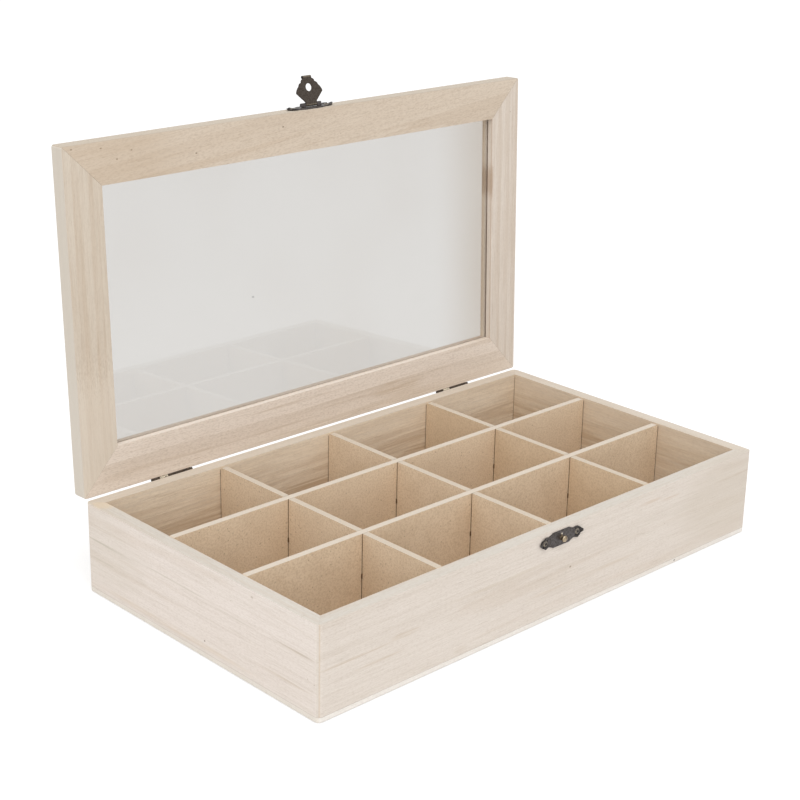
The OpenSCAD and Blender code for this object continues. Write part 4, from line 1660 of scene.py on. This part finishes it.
@dataclass
class Clasp:
    """The hasp and its plate on the lid, and the plate and knob on the front wall."""

    width: float = 34.8
    height: float = 8.8
    thick: float = 0.8
    x_shares: tuple[float, ...] = (0.385, 0.42, 0.57, 0.75, 0.875, 1.0)
    y_shares: tuple[float, ...] = (1.0, 0.9, 0.66, 0.78, 0.48, 0.12)
    outline_round: float = 0.22
    rim_round: float = 0.12
    face_least: float = 0.3
    raised: float = 0.15
    cushion: tuple[Spot, ...] = ((6.2, 3.7), (7.3, 2.9), (9.0, 1.9))
    cushion_foot: float = 0.3
    cushion_corner: float = 0.5
    cushion_round: float = 0.13
    nail_x: float = 13.05
    nail_head: float = 1.8
    nail_length: float = 6.0
    nail_sink: float = 0.15
    dish: float = 2.0
    dish_top: Spot = (2.3, 1.5)
    dish_deep: float = 0.2
    dish_shade: float = 2.35
    tip_curl: float = 0.9
    side_curl: float = 0.55
    pip: tuple[Spot, ...] = (
        (0.7, 0.5), (0.7, 0.84), (0.5, 0.96), (0.2, 1.01), (0.05, 1.02))
    pip_y: float = 2.3
    barrel: float = 1.1
    barrel_bore: float = 0.55
    barrel_width: float = 15.0
    knuckle: float = 8.4
    ear: float = 3.1
    axis_out: float = 2.2
    leaf_length: float = 16.8
    hole_reach: float = 9.8
    hole: float = 2.3
    tab_half: float = 3.2
    roll: float = 0.95
    roll_bore: float = 0.55
    leaf_back: float = -1.1
    leaf_round: float = 0.14
    roll_round: float = 0.1
    pin_ends: Spot = (0.3, 0.5)
    pin_round: float = 0.2
    shank: float = 1.0
    neck: Spot = (1.9, 2.95)
    knob_profile: tuple[Spot, ...] = (
        (0.3, -6.0), (0.95, -5.4), (0.95, 0.8), (1.52, 0.8), (1.46, 1.3), (1.4, 2.0), (1.5, 2.6),
        (1.84, 2.78), (1.9, 2.95), (1.86, 3.25), (1.66, 3.62), (1.3, 3.88), (0.8, 4.04), (0.1, 4.1))
    shoulders: tuple[Spot, ...] = ((10.0, -6.9), (7.4, -10.8), (5.1, -12.9), (3.6, -14.9))
    bulges: tuple[float, ...] = (0.42, 0.5, 0.4)
    shoulder_steps: int = 8
    tab_start: float = -15.1
    finish: MetalFinish = field(default_factory=MetalFinish)
    leaf_finish: MetalFinish = MetalFinish(base=paint(74, 66, 59), blotch=paint(56, 46, 38),
                                           sheen=paint(106, 96, 84), grain=1.1)

    def build(self) -> None:
        """Builds both halves of the clasp."""
        bronze = self.finish.material("clasp_bronze")
        on_lid = OPENED @ PLAN.on_front(PLAN.lid_middle())
        on_box = PLAN.on_front(PLAN.catch_z)
        at_pin = OPENED @ PLAN.hasp_axis()
        catch = self.make_plate("catch_plate")
        Bench.drill(catch, (0.0, 0.0, self.thick / 2), self.shank, 2.0, "Z")
        Bench.deliver(catch, Body.BOX, Slot.DARK_BRONZE, bronze, on_box)
        Bench.deliver(self.make_hasp_plate(), Body.LID, Slot.DARK_BRONZE, bronze, on_lid)
        height = self.thick - self.raised - self.nail_sink
        spots = [Matrix.Translation((side * self.nail_x, 0.0, height)) for side in (-1, 1)]
        for name, body, place in (("catch_plate_nails", Body.BOX, on_box),
                                  ("hasp_plate_nails", Body.LID, on_lid)):
            nail = domed_nail(self.nail_length + self.thick, self.nail_head)
            Bench.deliver(Bench.repeat(name, nail, spots), body, Slot.DARK_BRONZE, bronze, place)
        half, soft = self.barrel_width / 2, self.pin_round
        tip, full = self.pin_ends
        ends = ((tip, -half), (full, soft - half), (full, half - soft), (tip, half))
        pin = Bench.turned("hasp_pin", ends, 24)
        lie = Matrix.Rotation(math.pi / 2, 4, "Y")
        Bench.deliver(pin, Body.LID, Slot.DARK_BRONZE, bronze, at_pin @ lie)
        swing = Matrix.Rotation(math.radians(90 - PLAN.hasp_angle), 4, "X")
        brown = self.leaf_finish.material("hasp_bronze")
        Bench.deliver(self.make_leaf(), Body.HASP, Slot.DARK_BRONZE, brown, at_pin @ swing)
        self.build_knob(on_box)

    def outline(self) -> list[Spot]:
        """Returns the corners of a clasp plate."""
        half_w, half_h = self.width / 2, self.height / 2
        quarter = [(x * half_w, y * half_h) for x, y in zip(self.x_shares, self.y_shares)]
        right = quarter + [(x, -y) for x, y in reversed(quarter)]
        return right + [(-x, y) for x, y in reversed(right)]

    def make_plate(self, name: str) -> Piece:
        """Makes a stamped plate with a raised middle and a dish round each nail.

        Args:
            name: Its name.

        Returns:
            The plate, with z out of the wood.
        """
        sheet = self.thick - self.raised
        piece = Bench.sheet(name, self.outline(), sheet, self.outline_round)
        for x in (-self.nail_x, self.nail_x):
            for off in (-self.dish, self.dish):
                Bench.cut(piece, (x + off, 0.0, 0.0), (1.0, 0.0, 0.0), through=False)
        for y in (-self.dish, self.dish):
            Bench.cut(piece, (0.0, y, 0.0), (0.0, 1.0, 0.0), through=False)
        tip_x = self.nail_x + self.dish + 0.5
        Bench.shift(piece, lambda vertex: abs(vertex.co.x) > tip_x, (0.0, 0.0, self.tip_curl))
        Bench.shift(piece, lambda vertex: self.nail_x - 1.0 < abs(vertex.co.x) < tip_x
                    and abs(vertex.co.y) > self.dish + 0.05, (0.0, 0.0, self.side_curl))
        Bench.bevel(piece, self.rim_round, 2,
                    lambda edge: sharp(edge, 60.0) and middle_of(edge).z > self.face_least, -0.7)
        wide, over = self.dish_top
        for x in (-self.nail_x, self.nail_x):
            dish = Bench.turned("dish", ((self.dish, sheet - self.dish_deep), (wide, sheet + over)))
            Bench.move(dish, Matrix.Translation((x, 0.0, 0.0)))
            Bench.combine(piece, dish, Join.CUT)
        right = [*self.cushion, *((x, -y) for x, y in reversed(self.cushion))]
        cushion = Bench.sheet("cushion", right + [(-x, y) for x, y in reversed(right)],
                              self.thick - self.cushion_foot, self.cushion_corner)
        Bench.move(cushion, Matrix.Translation((0.0, 0.0, self.cushion_foot)))
        Bench.bevel(cushion, self.cushion_round, 2,
                    lambda edge: sharp(edge, 60.0) and middle_of(edge).z > self.thick - 0.1, 0.4)
        Bench.combine(piece, cushion, Join.WELD)
        Bench.stain(piece, 0.0, lambda face: face.normal.z > 0.9)
        Bench.stain(piece, self.lobe_tone, self.on_lobe)
        return piece

    def lobe_tone(self, at: Vector) -> float:
        """Gives the tone of a plate's curled end: dark, and darkest in the dish round the nail,
        where shade is painted.
        """
        return -1.0 if math.hypot(abs(at.x) - self.nail_x, at.y) < self.dish_shade else -0.6

    def on_lobe(self, face: Face) -> bool:
        """Says whether a face lies on a plate's curled end."""
        at = face.calc_center_median()
        return abs(at.x) > self.nail_x - self.dish - 0.1 and at.z > self.face_least

    def make_hasp_plate(self) -> Piece:
        """Makes the lid's plate, with two rolled ears for the hasp's pin.

        Returns:
            The plate, with z out of the wood.
        """
        piece = self.make_plate("hasp_plate")
        drop = PLAN.hasp_z - PLAN.lid_middle()
        half = self.barrel_width / 2
        for start in (-half, half - self.ear):
            middle = (start + self.ear / 2, drop, self.axis_out)
            ear = Bench.rod("ear", middle, self.barrel, self.ear)
            Bench.combine(piece, ear, Join.WELD)
            tongue = Bench.block("tongue", (start, drop - self.barrel, self.thick / 2),
                                 (start + self.ear, drop - self.barrel + self.thick, self.axis_out))
            Bench.combine(piece, tongue, Join.WELD)
        Bench.drill(piece, (0.0, drop, self.axis_out), self.barrel_bore, self.barrel_width + 2)
        return piece

    def leaf_outline(self) -> list[Spot]:
        """Returns the hasp leaf's outline, its pin along x at the origin and y up."""
        half, steps = self.knuckle / 2, self.shoulder_steps
        right = [(half, 0.0), (half, -1.4), self.shoulders[0]]
        for start, end, bulge in zip(self.shoulders, self.shoulders[1:], self.bulges):
            chord = Vector(end) - Vector(start)
            out = Vector((-chord.y, chord.x)).normalized()
            for step in range(1, steps + 1):
                share = step / steps
                point = Vector(start) + chord * share + out * bulge * 4 * share * (1 - share)
                right.append((point.x, point.y))
        right += [(self.tab_half, self.tab_start), (self.tab_half, self.roll - self.leaf_length)]
        return right + [(-x, y) for x, y in reversed(right)]

    def make_leaf(self) -> Piece:
        """Makes the hasp's leaf with its knuckle, hole and rolled tip.

        Returns:
            The latched leaf about its pin, with z out of the wood.
        """
        piece = Bench.sheet("hasp_leaf", self.leaf_outline(), self.thick)
        Bench.move(piece, Matrix.Translation((0.0, 0.0, self.leaf_back)))
        Bench.drill(piece, (0.0, -self.hole_reach, 0.0), self.hole, 6.0, "Z", 48)
        # The leaf's edges are dark, for patina and painted shade along their thickness.
        Bench.bevel(piece, self.leaf_round, 2,
                    lambda edge: sharp(edge, 60.0) and middle_of(edge).y < -1.5, -0.5)
        barrel = Bench.rod("barrel", (0.0, 0.0, 0.0), self.barrel, self.knuckle)
        # The barrel is stained pale as a painted highlight.
        Bench.stain(barrel, 0.45)
        Bench.combine(piece, barrel, Join.WELD)
        Bench.drill(piece, (0.0, 0.0, 0.0), self.barrel_bore, self.knuckle + 2)
        middle = (0.0, self.roll - self.leaf_length, self.leaf_back + self.roll)
        roll = Bench.rod("roll", middle, self.roll, 2 * self.tab_half)
        # The roll is paler along its middle; its ends are darkened as painted shade.
        Bench.stain(roll, lambda at: 0.5 if abs(at.x) < self.tab_half - 0.1 else -0.5)
        Bench.bevel(roll, self.roll_round, 2, lambda edge: sharp(edge, 60.0), -0.4)
        Bench.combine(piece, roll, Join.WELD)
        Bench.drill(piece, middle, self.roll_bore, 2 * self.tab_half + 2)
        # The bore is darkest: painted shade.
        inside = self.roll_bore + 0.05
        Bench.stain(piece, -1.0,
                    lambda face: (face.calc_center_median() - Vector(middle)).yz.length < inside)
        return piece

    def build_knob(self, place: Matrix) -> None:
        """Builds the knob that the hasp drops over.

        Args:
            place: The move onto the front wall.
        """
        knob = Bench.turned("catch_knob", self.knob_profile, 40)
        foot, head = self.neck
        Bench.stain(knob, -0.6, lambda face: foot < face.calc_center_median().z < head)
        # A small bump beside the knob, stained pale as a painted highlight.
        pip = Bench.turned("pip", self.pip, 20)
        Bench.stain(pip, 1.0)
        Bench.move(pip, Matrix.Translation((0.0, self.pip_y, 0.0)))
        knob = Bench.merge("catch_knob", [knob, pip])
        brass = MetalFinish(base=paint(168, 152, 128), blotch=paint(108, 88, 68),
                            sheen=paint(208, 196, 174), rubbed_and_highlight=paint(232, 226, 212),
                            dark=paint(34, 27, 22), metallic=0.9, rough_span=(0.2, 0.38))
        Bench.deliver(knob, Body.BOX, Slot.WORN_BRASS, brass.material("worn_brass"), place)


@dataclass
class Lamp:
    """A large soft lamp."""

    name: str
    place: Point
    aim: Point
    size: float
    power: float

    def build(self) -> None:
        """Adds the lamp."""
        data = bpy.data.lights.new(self.name, "AREA")
        data.shape = "SQUARE"
        data.size = self.size
        data.energy = self.power
        lamp = bpy.data.objects.new(self.name, data)
        lamp.location = self.place
        ray = Vector(self.aim) - Vector(self.place)
        lamp.rotation_euler = ray.to_track_quat("-Z", "Y").to_euler()
        bpy.context.collection.objects.link(lamp)


@dataclass
class Studio:
    """The floor, the world, the lamps and the camera, in metres."""

    target: Point = (-0.028746, 0.0, 0.107340)
    distance: float = 0.980921
    azimuth: float = -43.887
    elevation: float = 20.111
    roll: float = 1.193
    lens: float = 78.409
    sensor: float = 36.0
    clip: Spot = (0.05, 40.0)
    floor_size: float = 14.0
    world_light: float = 0.82
    lift_span: Spot = (0.4, 2.4)
    near_lift: float = 0.36
    far_lift: float = 0.45
    floor_tone: float = 0.72
    floor_drop: float = 0.0003
    lamps: tuple[Lamp, ...] = (
        Lamp("key", (-2.9, -1.7, 1.5), (0.0, 0.0, 0.05), 2.4, 26.0),
        Lamp("high", (-0.5, -1.1, 2.3), (0.0, 0.0, 0.05), 1.8, 22.0),
    )

    def build(self) -> None:
        """Sets up everything round the object."""
        self.build_floor()
        self.build_world()
        for lamp in self.lamps:
            lamp.build()
        self.build_camera()
        bpy.context.scene.view_settings.view_transform = "Standard"

    @staticmethod
    def seen(tree: bpy.types.NodeTree) -> Socket:
        """Gives 1 on rays from the camera, a mirror or clear sheet, and 0 on others.

        Args:
            tree: The node tree.

        Returns:
            The share.
        """
        path = tree.nodes.new("ShaderNodeLightPath")
        total = path.outputs["Is Camera Ray"]
        for name in ("Is Glossy Ray", "Is Transmission Ray"):
            add = tree.nodes.new("ShaderNodeMath")
            add.operation = "ADD"
            add.use_clamp = True
            tree.links.new(total, add.inputs[0])
            tree.links.new(path.outputs[name], add.inputs[1])
            total = add.outputs[0]
        return total

    def build_floor(self) -> None:
        """Adds the pale floor, which keeps the object's shadow."""
        Bench.clear()
        bpy.ops.mesh.primitive_plane_add(size=self.floor_size, location=(0.0, 0.0, -self.floor_drop))
        floor = bpy.context.object
        floor.name = "floor"
        recipe = Recipe("floor_paper")
        tree = recipe.tree
        matt = recipe.add("BsdfDiffuse", {"Color": (self.floor_tone,) * 3 + (1.0,)})
        lift = recipe.add("Emission", {"Color": (1.0, 1.0, 1.0, 1.0)})
        here = recipe.add("TexCoord", {}).outputs["Object"]
        reach = recipe.add("VectorMath", {0: here}, operation="LENGTH").outputs["Value"]
        glow = recipe.range(reach, *self.lift_span, self.near_lift, self.far_lift)
        strength = recipe.times(self.seen(tree), glow)
        tree.links.new(strength, lift.inputs["Strength"])
        both = recipe.add("AddShader", {0: matt.outputs[0], 1: lift.outputs[0]})
        recipe.add("OutputMaterial", {"Surface": both.outputs[0]})
        floor.data.materials.append(recipe.material)

    def build_world(self) -> None:
        """Sets an even pale world that is white where it is seen."""
        world = bpy.data.worlds.new("studio")
        bpy.context.scene.world = world
        world.use_nodes = True
        tree = world.node_tree
        background = tree.nodes["Background"]
        background.inputs["Color"].default_value = (1.0, 1.0, 1.0, 1.0)
        strength = tree.nodes.new("ShaderNodeMapRange")
        strength.inputs["To Min"].default_value = self.world_light
        strength.inputs["To Max"].default_value = 1.0
        tree.links.new(self.seen(tree), strength.inputs["Value"])
        tree.links.new(strength.outputs[0], background.inputs["Strength"])

    def build_camera(self) -> None:
        """Adds the camera at the photograph's viewing angle."""
        azimuth, elevation = math.radians(self.azimuth), math.radians(self.elevation)
        level = math.cos(elevation)
        back = Vector((math.sin(azimuth) * level, -math.cos(azimuth) * level, math.sin(elevation)))
        right = Vector((math.cos(azimuth), math.sin(azimuth), 0.0))
        up = back.cross(right)
        lean = math.radians(self.roll)
        side = right * math.cos(lean) + up * math.sin(lean)
        over = up * math.cos(lean) - right * math.sin(lean)
        place = Vector(self.target) + back * self.distance
        data = bpy.data.cameras.new("camera")
        data.lens = self.lens
        data.sensor_width = self.sensor
        data.clip_start, data.clip_end = self.clip
        camera = bpy.data.objects.new("camera", data)
        turn = Matrix((side, over, back)).transposed().to_4x4()
        camera.matrix_world = Matrix.Translation(place) @ turn
        bpy.context.collection.objects.link(camera)
        bpy.context.scene.camera = camera


def main() -> None:
    """Builds the box, the dividers, the lid, the hinges, the clasp and the studio."""
    logging.basicConfig(level=logging.INFO, format="%(message)s")
    Carcass().build()
    Dividers().build()
    LidFrame().build()
    Hinges().build()
    Clasp().build()
    Studio().build()


if __name__ == "__main__":
    main()
